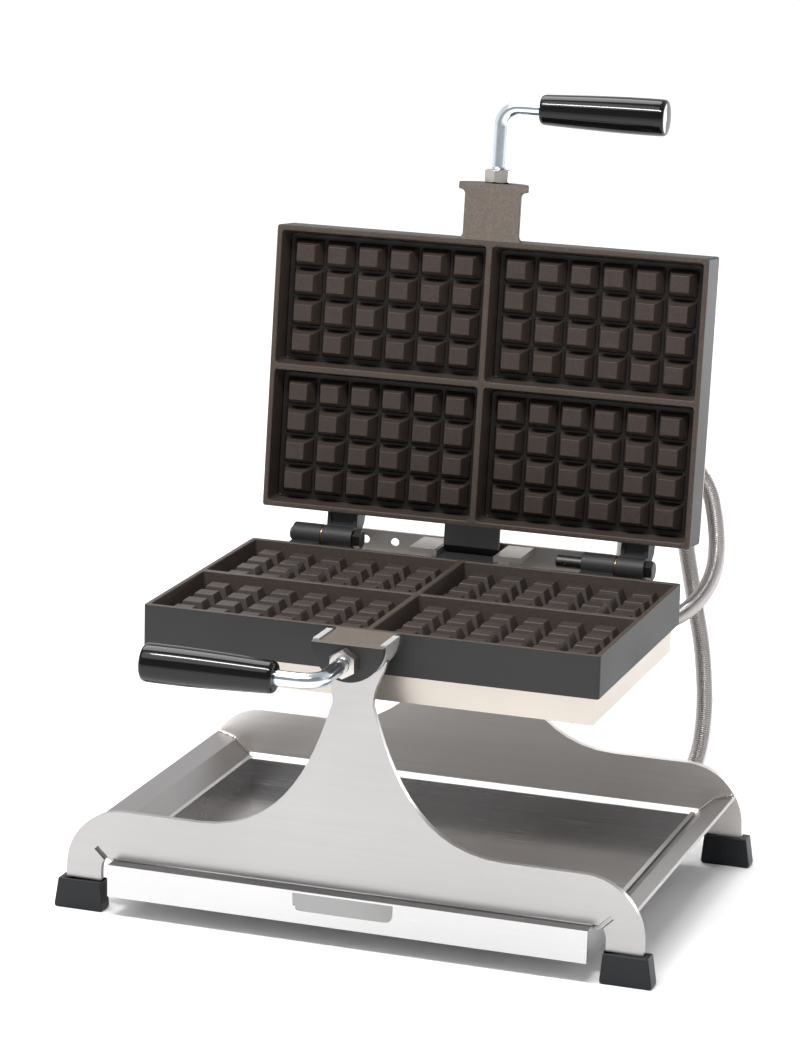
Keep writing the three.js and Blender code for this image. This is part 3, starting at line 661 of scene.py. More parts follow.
class StudioSettings(bpy.types.PropertyGroup):
    """Camera, lights and floor."""

    azimuth: bpy.props.FloatProperty(
        name="Azimuth", description="Camera's turn about the machine, from straight in front",
        default=math.radians(18.6024), subtype="ANGLE",
    )
    elevation: bpy.props.FloatProperty(
        name="Elevation", description="Camera's height angle", default=math.radians(13.7876),
        subtype="ANGLE",
    )
    roll: bpy.props.FloatProperty(
        name="Roll", description="Camera's turn about its own axis",
        default=math.radians(1.4515), subtype="ANGLE",
    )
    distance: bpy.props.FloatProperty(
        name="Distance", description="From the camera to its aim", default=2.749017,
        unit="LENGTH",
    )
    aim: bpy.props.FloatVectorProperty(
        name="Aim", description="Point that the camera looks at",
        default=(-0.014344, -0.0062, 0.275005), subtype="XYZ",
    )
    lens: bpy.props.FloatProperty(
        name="Lens", description="Focal length in millimetres", default=129.772,
    )
    sky: bpy.props.FloatProperty(
        name="Surround", description="Brightness of the white surround", default=1.0, min=0.0,
    )
    sky_front: bpy.props.FloatProperty(
        name="Front Surround", description="Share of that brightness behind the camera",
        default=0.33, min=0.0, max=1.0,
    )
    sun: bpy.props.FloatProperty(
        name="Key", description="Strength of the broad key light", default=1.6, min=0.0,
    )
    floor_colour: bpy.props.FloatVectorProperty(
        name="Floor", description="Colour of the paper that the machine stands on",
        default=(0.96, 0.96, 0.96), min=0.0, max=1.0, subtype="COLOR",
    )


SETTINGS = {
    "waffle_iron_sheet": SheetSettings,
    "waffle_iron_castings": CastingSettings,
    "waffle_iron_fittings": FittingSettings,
    "waffle_iron_studio": StudioSettings,
}


# ------------------------------------------------------------------ the castings
def rounded_rectangle(half_x, half_y, radius, z, steps=4):
    points = []
    for sign_x, sign_y, start in ((1, 1, 0), (-1, 1, 90), (-1, -1, 180), (1, -1, 270)):
        for k in range(steps + 1):
            angle = math.radians(start + 90 * k / steps)
            x = sign_x * (half_x - radius) + radius * math.cos(angle)
            y = sign_y * (half_y - radius) + radius * math.sin(angle)
            points.append((x, y, z))
    return points


def cell_border(half_x, half_y, reach, z):
    """A rectangle with as many points as a rounded one, so that neighbouring cells meet."""
    points = []
    for sign_x, sign_y in ((1, 1), (-1, 1), (-1, -1), (1, -1)):
        along_y = [(half_x, half_y - reach), (half_x, half_y - reach / 2)]
        along_x = [(half_x - reach / 2, half_y), (half_x - reach, half_y)]
        corner = [*along_y, (half_x, half_y), *along_x]
        if sign_x * sign_y < 0:
            corner.reverse()
        points += [(sign_x * x, sign_y * y, z) for x, y in corner]
    return points


def stud_rings(edge):
    """Half sizes, corner radius and height of each ring of a stud, from its foot up."""
    floor = -CAVITY["depth"]
    foot, top = STUD["foot"], STUD["top"]

    def slope(t):
        return [f + (c - f) * t for f, c in zip(foot, top)]

    def wider(size, by):
        return [s + by for s in size]

    height = STUD["height"]
    return [
        (wider(foot, 0.85), edge * 2.6, floor),
        (wider(foot, 0.2), edge * 2.2, floor + 0.2),
        (slope(0.06), edge * 1.9, floor + 0.06 * height + 0.15),
        (slope(0.94), edge, floor + 0.94 * height),
        (wider(top, -0.08), edge * 0.9, floor + height - 0.22),
        (wider(top, -0.5), edge * 0.6, floor + height),
    ]


RIM_SLOT, STUD_SLOT, GROOVE_SHADE_SLOT, FLANK_SLOT, RAW_SLOT = 1, 2, 3, 4, 5


# The groove slot paints shade: the cell floors and the lowest rings of every stud and wall get the
# darkest finish.
STUD_LAYERS = [GROOVE_SHADE_SLOT] * 3 + [FLANK_SLOT] + [STUD_SLOT] * 2
WALL_LAYERS = [GROOVE_SHADE_SLOT] * 2 + [FLANK_SLOT] + [RIM_SLOT] * 2


def add_studs(shape, centre, edge):
    """The floor and studs of one quarter, in a grid of equal cells."""
    half = [p / 2 for p in CELLS["pitch"]]
    for i in range(CELLS["across"]):
        for j in range(CELLS["deep"]):
            x = centre[0] + (i - (CELLS["across"] - 1) / 2) * CELLS["pitch"][0]
            y = centre[1] + (j - (CELLS["deep"] - 1) / 2) * CELLS["pitch"][1]
            outlines = [cell_border(half[0], half[1], CELL_REACH, -CAVITY["depth"])]
            for (size_x, size_y), radius, z in stud_rings(edge):
                outlines.append(rounded_rectangle(size_x, size_y, radius, z))
            rings = [ring_of(shape, [(x + a, y + b, z) for a, b, z in ring]) for ring in outlines]
            for layer, first, second in zip(STUD_LAYERS, rings, rings[1:]):
                skin(shape, first, second, layer)
            close_ring(shape, rings[-1], STUD_SLOT)


def cell_stations(pitch):
    """The places of the points along one side of a cell."""
    reach = CELL_REACH
    return (0.0, reach / 2, reach, pitch - reach, pitch - reach / 2)


def grid_edge(centre):
    """The points around one quarter's grid of cells, with the corner points marked."""
    half_x = CELLS["across"] * CELLS["pitch"][0] / 2
    half_y = CELLS["deep"] * CELLS["pitch"][1] / 2

    def run(count, pitch):
        stations = []
        for i in range(count):
            low = (i - count / 2) * pitch
            stations += [low + offset for offset in cell_stations(pitch)]
        return stations

    ups = run(CELLS["deep"], CELLS["pitch"][1])
    across = run(CELLS["across"], CELLS["pitch"][0])
    edge = [(half_x, y) for y in ups]
    edge += [(-x, half_y) for x in across]
    edge += [(-half_x, -y) for y in ups]
    edge += [(x, -half_y) for x in across]
    return [(centre[0] + x, centre[1] + y) for x, y in edge], (len(ups), len(across))


def wall_ring(centre, size, radius, z, counts, steps=4):
    """A rounded rectangle whose straight runs follow the grid's edge. The corners have extra points."""
    ups, across = counts
    half_x, half_y = size
    points = []
    corners = ((1, -1, 270), (1, 1, 0), (-1, 1, 90), (-1, -1, 180))
    runs = ((ups, 1), (across, 0), (ups, 1), (across, 0))
    for (sign_x, sign_y, start), (count, upright) in zip(corners, runs):
        hub_x, hub_y = sign_x * (half_x - radius), sign_y * (half_y - radius)
        for k in range(steps + 1):
            angle = math.radians(start + 90 * k / steps)
            points.append((hub_x + radius * math.cos(angle), hub_y + radius * math.sin(angle)))
        grid_half = (CELLS["deep"] if upright else CELLS["across"]) * CELLS["pitch"][upright] / 2
        reach = (half_y if upright else half_x) - radius
        for i in range(1, count):
            cell, k = divmod(i, len(cell_stations(1.0)))
            pitch = CELLS["pitch"][upright]
            along = (-grid_half + cell * pitch + cell_stations(pitch)[k]) * reach / grid_half
            side = {270: (half_x, along), 0: (-along, half_y), 90: (-half_x, -along),
                    180: (along, -half_y)}[start]
            points.append(side)
    return [(centre[0] + x, centre[1] + y, z) for x, y in points]


def add_walls(shape, centre, size):
    """The draft walls of one quarter, from its grid of cells up to the rim. Gives the top ring."""
    edge, counts = grid_edge(centre)
    floor, draft = -CAVITY["depth"], CAVITY["draft"]
    steps = 4

    def at(z, more=0.0):
        return [s - draft * (-z / CAVITY["depth"]) + more for s in size]

    inner = ring_of(shape, [(x, y, floor) for x, y in edge])
    levels = [
        (at(floor, -1.5), 2.0, floor), (at(floor, -0.4), 2.6, floor + 0.35),
        (at(floor + 1.5), 2.8, floor + 1.5), (at(-0.8), 2.6, -0.8), (at(-0.25, 0.15), 2.7, -0.25),
        (at(0.0, 0.6), 3.1, 0.0),
    ]
    rings = [ring_of(shape, wall_ring(centre, s, r, z, counts, steps)) for s, r, z in levels]
    outer = rings[0]
    place = 0
    starts = [0, counts[0], counts[0] + counts[1], 2 * counts[0] + counts[1]]
    for start, count in zip(starts, (*counts, *counts)):
        tip = inner[start]
        for k in range(steps):
            face = shape.faces.new((tip, outer[place + k], outer[place + k + 1]))
            face.material_index = GROOVE_SHADE_SLOT
        place += steps
        for i in range(count):
            first, second = inner[start + i], inner[(start + i + 1) % len(inner)]
            after = outer[(place + 1) % len(outer)]
            face = shape.faces.new((first, outer[place], after, second))
            face.material_index = GROOVE_SHADE_SLOT
            place += 1
    for layer, first, second in zip(WALL_LAYERS, rings, rings[1:]):
        skin(shape, first, second, layer)
    return rings[-1]


def baking_body(edge):
    """The rectangular body of a casting: four quarters of studs inside rim and rib."""
    shape = bmesh.new()
    half_x, half_y = PLATE["half"]
    width = (2 * half_x - 2 * PLATE["rim"] - PLATE["rib"]) / 2
    depth = (2 * half_y - 2 * PLATE["rim"] - PLATE["rib"]) / 2
    tops = []
    for sign_x in (-1, 1):
        for sign_y in (-1, 1):
            centre = (sign_x * (width + PLATE["rib"]) / 2, sign_y * (depth + PLATE["rib"]) / 2)
            add_studs(shape, centre, edge)
            tops.append(add_walls(shape, centre, (width / 2, depth / 2)))
    corner, height = PLATE["corner"], PLATE["height"]
    levels = [
        (0.9, 0.0), (0.26, -0.26), (0.0, -0.9),
        (0.0, -height + BOTTOM_EDGE), (0.35, -height + 0.35), (BOTTOM_EDGE, -height),
    ]
    outline = [
        ring_of(shape, rounded_rectangle(half_x - i, half_y - i, max(corner - i, 0.5), z, 6))
        for i, z in levels
    ]
    for first, second in zip(outline, outline[1:]):
        skin(shape, first, second)
    close_ring(shape, outline[-1])
    for face in shape.faces:
        if all(vert in outline[0] or vert in outline[1] for vert in face.verts):
            face.material_index = RIM_SLOT
    bmesh.ops.remove_doubles(shape, verts=shape.verts, dist=0.01)
    rims = [e for e in shape.edges if e.is_boundary]
    filled = bmesh.ops.triangle_fill(shape, use_beauty=True, edges=rims)
    for item in filled["geom"]:
        if isinstance(item, bmesh.types.BMFace):
            item.material_index = RIM_SLOT
    bmesh.ops.recalc_face_normals(shape, faces=shape.faces)
    open_edges = [e for e in shape.edges if not e.is_manifold]
    if open_edges:
        raise RuntimeError(f"the baking body has {len(open_edges)} open edges")
    return shape


def half_round(radius, y, top, steps=30, corner=0.9):
    """One section of a trunnion: round below, flat on top with small rounds at its sides."""
    start = math.asin(corner / radius)
    points = []
    for k in range(steps + 1):
        angle = -start - (math.pi - 2 * start) * k / steps
        points.append((radius * math.cos(angle), y, radius * math.sin(angle) + top))
    inset = 0.27 * corner
    points += [(-radius + inset, y, top - inset), (-radius + corner, y, top)]
    points += [(radius - corner, y, top), (radius - inset, y, top - inset)]
    return points


def front_neck(flange_fillet):
    """The half-round neck with its flange, and a hollow fillet at each end."""
    root = -PLATE["half"][1]
    radius, fillet = NECK["radius"], NECK["fillet"]
    stations = [(root + 3.0, radius + fillet, -0.4)]
    for k in range(7):
        way = fillet * (1 - math.cos(math.pi / 2 * k / 6))
        rise = fillet - math.sqrt(max(fillet**2 - (fillet - way) ** 2, 0))
        stations.append((root - way, radius + rise, NECK_TOP))
    face = root - NECK["reach"]
    for k in range(6):
        way = flange_fillet * (1 - math.sin(math.pi / 2 * k / 5))
        rise = flange_fillet - math.sqrt(max(flange_fillet**2 - (flange_fillet - way) ** 2, 0))
        stations.append((face + way + 0.02 * (5 - k), radius + rise, NECK_TOP))
    flange, end = NECK["flange"], face - NECK["flange_thickness"]
    stations += [
        (face - 0.05, flange - 0.8, NECK_TOP), (face - 0.3, flange - 0.2, NECK_TOP),
        (face - 0.9, flange, NECK_TOP), (end + 0.9, flange, NECK_TOP), (end + 0.25, flange - 0.25, -0.4),
        (end, flange - 0.9, -0.9),
    ]
    return lofted([half_round(r, y, top) for y, r, top in stations])


def rear_trunnion(length, chamfer=0.0):
    root = PLATE["half"][1]
    end = root + length
    radius = NECK["radius"]
    stations = [
        (root - 3.0, radius, NECK_TOP), (end - 0.9, radius, NECK_TOP), (end - 0.25, radius - 0.25, -0.4),
        (end, radius - 0.9, -0.9),
    ]
    shape = lofted([half_round(r, y, top) for y, r, top in stations])
    if chamfer:
        cut = bmesh.ops.bisect_plane(
            shape, geom=[*shape.verts, *shape.edges, *shape.faces],
            plane_co=(0, end - chamfer, NECK_TOP), plane_no=(0, 1, 1), clear_outer=True,
        )
        rim = [e for e in cut["geom_cut"] if isinstance(e, bmesh.types.BMEdge)]
        bmesh.ops.holes_fill(shape, edges=rim, sides=0)
        bmesh.ops.recalc_face_normals(shape, faces=shape.faces)
    return shape


def eye_arc(eye, start, end, steps=26):
    """Points on a hinge eye's outside, in degrees from +Y towards +Z."""
    points = []
    for k in range(steps + 1):
        angle = math.radians(start + (end - start) * k / steps)
        points.append((eye[0] + KNUCKLE["radius"] * math.cos(angle),
                       eye[1] + KNUCKLE["radius"] * math.sin(angle)))
    return points


def hinge_lug(outline, span, eye, recess=None):
    """An arm and its eye, bored for the hinge bolt."""
    shape = rounded(prism(outline, *span), 0.7, 2, 50.0)
    turn = Matrix.Rotation(math.pi / 2, 4, "Y")
    place = Matrix.Translation((0, eye[0], eye[1])) @ turn
    bore = moved(rod_between(KNUCKLE["bore"], span[0] - 1, span[1] + 1), place)
    shape = combined("DIFFERENCE", shape, bore)
    if recess:
        shape = combined("DIFFERENCE", shape, block(*recess))
    return shape


def bare(shape, choose):
    """Gives the bare iron's slot to the outside faces that the choice accepts."""
    shape.normal_update()
    for face in shape.faces:
        if face.material_index == 0 and choose(face.calc_center_median(), face.normal):
            face.material_index = RAW_SLOT
    return shape


def casting_blank(edge, flange_fillet):
    """A baking body with its front neck, bored for the handle rod."""
    shape = combined("UNION", baking_body(edge), front_neck(flange_fillet))
    face = -PLATE["half"][1] - NECK["reach"] - NECK["flange_thickness"]
    bore = rod_between(ROD["radius"] + GAP, face - 1, face + 15 + GAP, 24)
    place = Matrix.Translation((0, 0, -ROD["below"])) @ Matrix.Rotation(-math.pi / 2, 4, "X")
    shape = combined("DIFFERENCE", shape, moved(bore, place))
    return bare(shape, lambda middle, normal: middle.y < -PLATE["half"][1] and normal.z > 0.9)


def lower_casting(edge):
    """The lower plate, with its rear trunnion and the outer arms of both hinges."""
    root = PLATE["half"][1]
    eye = (HINGE_Y - PLATE_Y, HINGE_Z - AXIS_Z)
    outline = [(root - 1.5, -18.0), (root + 8.0, -16.4), *eye_arc(eye, -58, 202), (root - 1.5, -1.4)]
    shape = combined("UNION", casting_blank(edge, 0.35), rear_trunnion(REAR["lower"]))
    for lug in LUGS.values():
        shape = combined("UNION", shape, hinge_lug(outline, lug["lower"], eye))
    return shape


def upper_casting(edge):
    """The lid's plate, face down, with a chamfered trunnion and the inner arms of both hinges."""
    root = PLATE["half"][1]
    eye = (HINGE_Y - PLATE_Y, HINGE_Z - AXIS_Z - LID_FACE)
    outline = [(root - 1.5, 6.0), *eye_arc(eye, 157, 405), (root + 9.0, 24.0), (root - 1.5, 27.0)]
    blank = casting_blank(edge, 3.6)
    shape = combined("UNION", blank, rear_trunnion(REAR["upper"], REAR["chamfer"]))
    moved(shape, Matrix.Rotation(math.pi, 4, "Y"))
    for lug in LUGS.values():
        low, high = lug["upper"]
        recess = ((low + 3.2, root + 1.5, 4.0), (high - 3.2, root + 9.0, 6.9))
        shape = combined("UNION", shape, hinge_lug(outline, lug["upper"], eye, recess))
    return shape


def lid_place(height=LID_FACE):
    """Where the lid's shapes go, from the closed plate's own middle to the open lid."""
    hinge = Vector((0, HINGE_Y, HINGE_Z))
    closed = Matrix.Translation((0, PLATE_Y, AXIS_Z + height))
    swing = Matrix.Rotation(-OPENING, 4, "X")
    return Matrix.Translation(hinge) @ swing @ Matrix.Translation(-hinge) @ closed


def lower_place():
    return Matrix.Translation((0, PLATE_Y, AXIS_Z))


class WAFFLE_OT_castings(bpy.types.Operator):
    """Builds the lower and upper waffle castings"""

    bl_idname = "waffle_iron.castings"
    bl_label = "Castings"

    def execute(self, context):
        look = context.scene.waffle_iron_castings
        edge = look.stud_edge / MM
        finishes = [
            sand_cast_iron(name, colour, tone(colour, lighter), *surface)
            for name, colour, lighter, surface in (
                ("casting_side", look.side_colour, 1.6, (0.52, 0.00006)),
                ("seasoned_rim", look.rim_colour, 2.1, (0.5, 0.00016, 0.8)),
                ("seasoned_stud", look.stud_colour, 2.3, (0.48, 0.00013, 0.6)),
                # The groove finish is darker and less glossy than the rest: painted shade in the grooves,
                # over the seasoned iron.
                ("seasoned_groove_painted_shade", look.groove_shade_colour, 2.0, (0.4, 0.00008, 0.4, 0.22)),
                ("seasoned_flank", look.flank_colour, 2.0, (0.46, 0.0001, 0.5)),
                ("bare_iron", look.raw_colour, 2.0, (0.55, 0.00014, 0.6)),
            )
        ]
        make_piece("lower_plate_visual", lower_casting(edge), finishes, "lower_half",
                   ["lower_plate"], 40.0, lower_place())
        make_piece("upper_plate_visual", upper_casting(edge), finishes, "upper_half",
                   ["upper_plate"], 40.0, lid_place())
        return {"FINISHED"}


# ------------------------------------------------------------------ handles
def chamfered_hexagon(flats, height, bore, both=True):
    """A hexagon nut or head on z = 0, with the round chamfer of a turned blank."""
    corner = flats / math.sqrt(3)
    outline = [(corner * math.cos(math.pi / 3 * k), corner * math.sin(math.pi / 3 * k)) for k in range(6)]
    prismatic = prism(outline, 0.0, height, axis="Z")
    rise = (corner - flats / 2) * 0.75
    face = flats / 2 - 0.3
    lower = [(-0.001, face), (rise, corner)] if both else [(-0.001, corner + 1), (0.0, corner + 1)]
    upper = [(height - rise, corner), (height + 0.001, face), (height + 0.001, 0)]
    profile = [(-0.001, 0), *lower, *upper]
    shape = combined("INTERSECT", prismatic, turned(profile, 60))
    if bore:
        shape = combined("DIFFERENCE", shape, rod_between(bore, -1, height + 1))
    return shape


def handle_rod():
    """The bent rod in its casting's frame, threaded where it enters the flange."""
    face = -PLATE["half"][1] - NECK["reach"] - NECK["flange_thickness"]
    grip_y = face - ROD["reach"]
    start = Vector((0, face + 15, 0))
    corner = Vector((0, grip_y, 0))
    end = Vector((-ROD["to_grip"] - ROD["in_grip"], grip_y, 0))
    path = along_bend(start, corner, end, ROD["bend"] + 1, 20)
    thread_to = face - 13.0
    fine = spread([path[0], Vector((0, thread_to, 0))], 0.32)
    path = fine + path[1:]
    last = len(fine)

    def radius(i, turn):
        if i >= last - 4:
            return ROD["radius"]
        phase = (path[i].y / 1.5 + turn) % 1.0
        return ROD["radius"] - 0.35 * abs(2 * phase - 1)

    return swept(path, radius, 32)


GRIP_PROFILE = [
    (41.0, 0), (41.0, 5.8), (0.0, 5.8), (0.0, 9.4), (0.35, 10.3), (1.3, 11.1), (3.0, 11.5),
    (12.0, 11.9), (24.0, 12.4), (38.0, 12.95), (52.0, 13.4), (66.0, 13.72), (78.0, 13.85),
    (87.0, 13.85), (93.0, 13.78), (95.0, 13.45), (95.9, 12.8), (96.4, 11.5), (96.7, 8.0),
    (96.9, 4.0), (97.0, 0),
]


def handle_grip():
    face = -PLATE["half"][1] - NECK["reach"] - NECK["flange_thickness"]
    shape = turned(GRIP_PROFILE, 64)
    turn = Matrix.Rotation(-math.pi / 2, 4, "Y")
    return moved(shape, Matrix.Translation((-ROD["to_grip"], face - ROD["reach"], 0)) @ turn)


def handle_nut():
    face = -PLATE["half"][1] - NECK["reach"] - NECK["flange_thickness"]
    shape = chamfered_hexagon(18.0, 10.0, 5.7)
    turn = Matrix.Rotation(math.pi / 2, 4, "X") @ Matrix.Rotation(math.pi / 6, 4, "Z")
    return moved(shape, Matrix.Translation((0, face - GAP, 0)) @ turn)


class WAFFLE_OT_handles(bpy.types.Operator):
    """Builds both bent rods with their nuts and grips"""

    bl_idname = "waffle_iron.handles"
    bl_label = "Handles"

    def execute(self, context):
        look = context.scene.waffle_iron_fittings
        zinc = plated_steel("zinc_plating", look.rod_colour, 0.2, 0.05)
        nut = plated_steel("nut_steel", (0.5, 0.47, 0.44), 0.3)
        grip = moulded("grip_plastic", look.grip_colour, 0.09, 0.32, 0.000004)
        over = Matrix.Rotation(math.pi, 4, "Y")
        places = {
            "lower": lower_place() @ Matrix.Translation((0, 0, -ROD["below"])),
            "upper": lid_place() @ over @ Matrix.Translation((0, 0, -ROD["below"])),
        }
        for half, place in places.items():
            body = f"{half}_half"
            for name, shape, finish, slot in (
                ("rod", handle_rod(), zinc, "zinc_plated_steel"),
                ("nut", handle_nut(), nut, "zinc_plated_steel"),
                ("grip", handle_grip(), grip, "grip_plastic"),
            ):
                node = f"{half}_handle_{name}"
                make_piece(f"{node}_visual", shape, [finish], body, [node], 35.0, place)
        return {"FINISHED"}


# ------------------------------------------------------------------ hinge bolts and washers
def hinge_bolt(name, lug):
    head_from = lug["upper"][1] + GAP
    tail = lug["lower"][0] - (21 if name == "right" else 3)
    turn = Matrix.Rotation(math.pi / 2, 4, "Y")
    shank = turned(
        [(tail, 0), (tail, 4.1), (tail + 0.9, 5.0), (head_from + 1, 5.0), (head_from + 1, 0)], 32
    )
    head = moved(chamfered_hexagon(13.0, 6.0, 0, False), Matrix.Translation((0, 0, head_from)))
    shape = moved(combined("UNION", shank, head), turn)
    if name == "right":
        hole = rod_between(1.3, -8, 8, 20)
        place = Matrix.Translation((tail + 7, 0, 0)) @ Matrix.Rotation(math.pi / 2, 4, "X")
        shape = combined("DIFFERENCE", shape, moved(hole, place))
    return shape


def hinge_washer(lug):
    low, high = lug["lower"][1] + 0.2, lug["upper"][0] - 0.2
    inner, outer = KNUCKLE["bore"], KNUCKLE["radius"] - 0.6
    edge = min(0.15, (high - low) / 4)
    profile = [(low, inner), (low, outer - edge), (low + edge, outer), (high - edge, outer),
               (high, outer - edge), (high, inner)]
    return moved(hollow_turned(profile), Matrix.Rotation(math.pi / 2, 4, "Y"))


class WAFFLE_OT_hinges(bpy.types.Operator):
    """Builds the bolts and brass washers of the two lid hinges"""

    bl_idname = "waffle_iron.hinges"
    bl_label = "Hinge Bolts"

    def execute(self, context):
        black = plated_steel("blackened_steel", (0.055, 0.053, 0.052), 0.42)
        brass = plated_steel("turned_brass", (0.62, 0.42, 0.19), 0.3)
        place = Matrix.Translation((0, HINGE_Y, HINGE_Z))
        for name, lug in LUGS.items():
            bolt, washer = f"hinge_bolt_{name}", f"hinge_washer_{name}"
            make_piece(f"{bolt}_visual", hinge_bolt(name, lug), [black], "lower_half",
                       [bolt], 35.0, place)
            make_piece(f"{washer}_visual", hinge_washer(lug), [brass], "lower_half",
                       [washer], 35.0, place)
        return {"FINISHED"}


# ------------------------------------------------------------------ stand
def weld_bead(points, radius=1.35, pitch=2.6):
    """A weld with the overlapping ripples of a hand-laid bead."""
    path = spread([Vector(point) for point in points], 0.4)
    count = len(path)

    def reach(i, turn):
        along = i * 0.4
        ripple = 0.16 * abs(math.sin(math.pi * along / pitch))
        drift = 0.12 * math.sin(along * 0.37) + 0.08 * math.sin(along * 1.13)
        end = min(1.0, 0.35 + 0.2 * min(i, count - 1 - i))
        return (radius - ripple + drift) * end

    return swept(path, reach, 12)


def rail_welds(side):
    """Beads where a rail's upper side meets the two panels, in the frame's own place."""
    sign = 1 if side == "right" else -1
    front = box_mm("front_panel")[1].y
    rear = box_mm("rear_panel")[0].y
    line = [(209.5, 55.4), (202.0, 53.2), (195.0, 51.0), (188.5, 44.9), (182.6, 39.2)]
    beads = []
    for y, inward in ((front, 1), (rear, -1)):
        beads.append(weld_bead([(sign * x, y + inward * 0.7, z + 0.1) for x, z in line]))
    return beads


class WAFFLE_OT_stand(bpy.types.Operator):
    """Builds the panels, rails, cradles and cross plate of the stand"""

    bl_idname = "waffle_iron.stand"
    bl_label = "Stand"

    def execute(self, context):
        look = context.scene.waffle_iron_sheet
        width = look.edge / MM
        along_x = sheet_steel("panel_steel", look.colour, look.roughness, (1.0, 50.0, 50.0))
        along_y = sheet_steel("rail_steel", look.colour, look.roughness, (50.0, 1.0, 50.0))
        # The cross plate, rear panel and rear cradle take the lighter rear colour: painted light on the
        # same stainless sheet.
        dull = sheet_steel("cross_plate_steel_painted_light", tone(look.rear_lit_colour), 0.45, (1.0, 50.0, 50.0))
        weld = plated_steel("weld_bead", (0.66, 0.63, 0.6), 0.24, 0.25)
        rear = sheet_steel("rear_steel_painted_light", look.rear_lit_colour, 0.42, (1.0, 50.0, 50.0))
        wings = sheet_steel("wing_steel_painted_light", tone(look.rear_lit_colour, 0.8), 0.4, (1.0, 50.0, 50.0))
        # The front cradle's steel is lighter than the panels': painted light for its bright ring ends.
        ends = sheet_steel("front_cradle_steel_painted_light", (0.75, 0.74, 0.73), 0.5, (50.0, 50.0, 50.0))
        dressed("front_panel", along_x, width)
        dressed("rear_panel", rear, width)
        for side in ("left", "right"):
            dressed(f"{side}_side_rail", along_y, width, 2, 20.0)
            for end, bead in zip(("front", "rear"), rail_welds(side)):
                make_piece(f"{end}_{side}_weld", bead, [weld], "base", (), 60.0)
        dressed("front_cradle", ends, width)
        dressed("rear_cradle", wings, width)
        dressed("rear_cross_plate", dull, width)
        zinc = plated_steel("bolt_zinc", (0.5, 0.5, 0.5), 0.32)
        for side in ("left", "right"):
            dressed(f"cross_plate_bolt_{side}", zinc, 0.35)
        return {"FINISHED"}


class WAFFLE_OT_feet(bpy.types.Operator):
    """Builds the four moulded rubber feet"""

    bl_idname = "waffle_iron.feet"
    bl_label = "Feet"

    def execute(self, context):
        rubber = moulded("foot_rubber", context.scene.waffle_iron_fittings.foot_colour, 0.42, 0.25,
                         0.00003)
        for end in ("front", "rear"):
            for side in ("left", "right"):
                dressed(f"{end}_{side}_foot", rubber, 0.9, 3, 40.0)
        return {"FINISHED"}


class WAFFLE_OT_tray(bpy.types.Operator):
    """Builds the drip tray"""

    bl_idname = "waffle_iron.tray"
    bl_label = "Drip Tray"

    def execute(self, context):
        look = context.scene.waffle_iron_sheet
        steel = sheet_steel("tray_steel", look.tray_colour, 0.24, (1.0, 60.0, 60.0), 0.16, 0.35)
        dressed("drip_tray", steel, look.edge / MM)
        return {"FINISHED"}


# ------------------------------------------------------------------ heating and electrics
class WAFFLE_OT_heating(bpy.types.Operator):
    """Builds the heater covers with their screws, and dresses what they close in"""

    bl_idname = "waffle_iron.heating"
    bl_label = "Heating"

    def execute(self, context):
        look = context.scene.waffle_iron_sheet
        cover = sheet_steel("heater_cover_steel", look.cover_colour, 0.36, (1.0, 50.0, 50.0))
        zinc = plated_steel("screw_zinc", (0.6, 0.62, 0.64), 0.25)
        sheath = plated_steel("element_sheath", (0.24, 0.21, 0.2), 0.45)
        ceramic = moulded("glazed_ceramic", (0.8, 0.77, 0.7), 0.3)
        wool = matted_wool("blanket_wool", (0.7, 0.67, 0.58))
        for half in ("lower", "upper"):
            dressed(f"{half}_heater_cover", cover, 0.7, 3)
            dressed(f"{half}_heater_element", sheath, 0.01, 1, 80.0, 60.0)
            dressed(f"{half}_thermostat", ceramic, 0.5)
            dressed(f"{half}_heater_blanket", wool, 1.5, 3)
            for number in range(1, 5):
                dressed(f"{half}_cover_screw_{number}", zinc, 0.5)
        return {"FINISHED"}


class WAFFLE_OT_electrics(bpy.types.Operator):
    """Builds the terminal box, its lid and screws, and the glands"""

    bl_idname = "waffle_iron.electrics"
    bl_label = "Terminal Box"

    def execute(self, context):
        look = context.scene.waffle_iron_sheet
        steel = sheet_steel("box_steel", look.colour, 0.36, (1.0, 50.0, 50.0))
        zinc = plated_steel("gland_zinc", (0.55, 0.56, 0.57), 0.28)
        ceramic = moulded("terminal_ceramic", (0.8, 0.77, 0.7), 0.3)
        nylon = moulded("gland_nylon", (0.012, 0.012, 0.013), 0.4)
        dressed("terminal_box", steel, 0.5)
        dressed("terminal_box_lid", steel, 0.5)
        dressed("terminal_block", ceramic, 0.8)
        for side in ("left", "right"):
            dressed(f"terminal_box_screw_{side}", zinc, 0.4)
        dressed("mains_inlet_gland", nylon, 0.5)
        for node in ("terminal_box_gland", "supply_conduit_gland", "lower_link_gland",
                     "upper_link_gland"):
            dressed(node, zinc, 0.4)
        return {"FINISHED"}


# ------------------------------------------------------------------ conduits
def supply_route():
    """From the terminal box, up behind the lid, and down into the lower heater cover."""
    inside = COVER_HIGH.y - PLATE_Y - 4.0
    level = COVER_LOW.z + COVER["conduit_height"]
    box_y, box_z = BOX_PLACE
    points = [
        (45, box_y, box_z), (67, box_y, box_z), (88, 169.5, 58.5), (108, 171.3, 50), (126, 175, 42.5),
        (145, 181, 40), (160, 187, 48), (167.5, 192, 66), (169.5, 198.9, 90), (168, 205.4, 111),
        (165, 210.7, 131), (161, 215.4, 151), (155.6, 218.6, 172), (150.6, 220.5, 194),
        (146, 221.5, 215), (142.3, 222, 233), (137.5, 222, 249), (130, 221.5, 260.5),
        (119.5, 219.5, 265), (109, 216, 261), (102.5, 211.5, 250), (100, 207, 234),
        (100, 201.5, 215), (100, 190, 197.5), (100, 175, 187.5), (100, 158, level + 0.3),
        (100, 138, level), (100, 120, level), (100, inside, level),
    ]
    return [Vector((x, y + PLATE_Y, z)) for x, y, z in points]


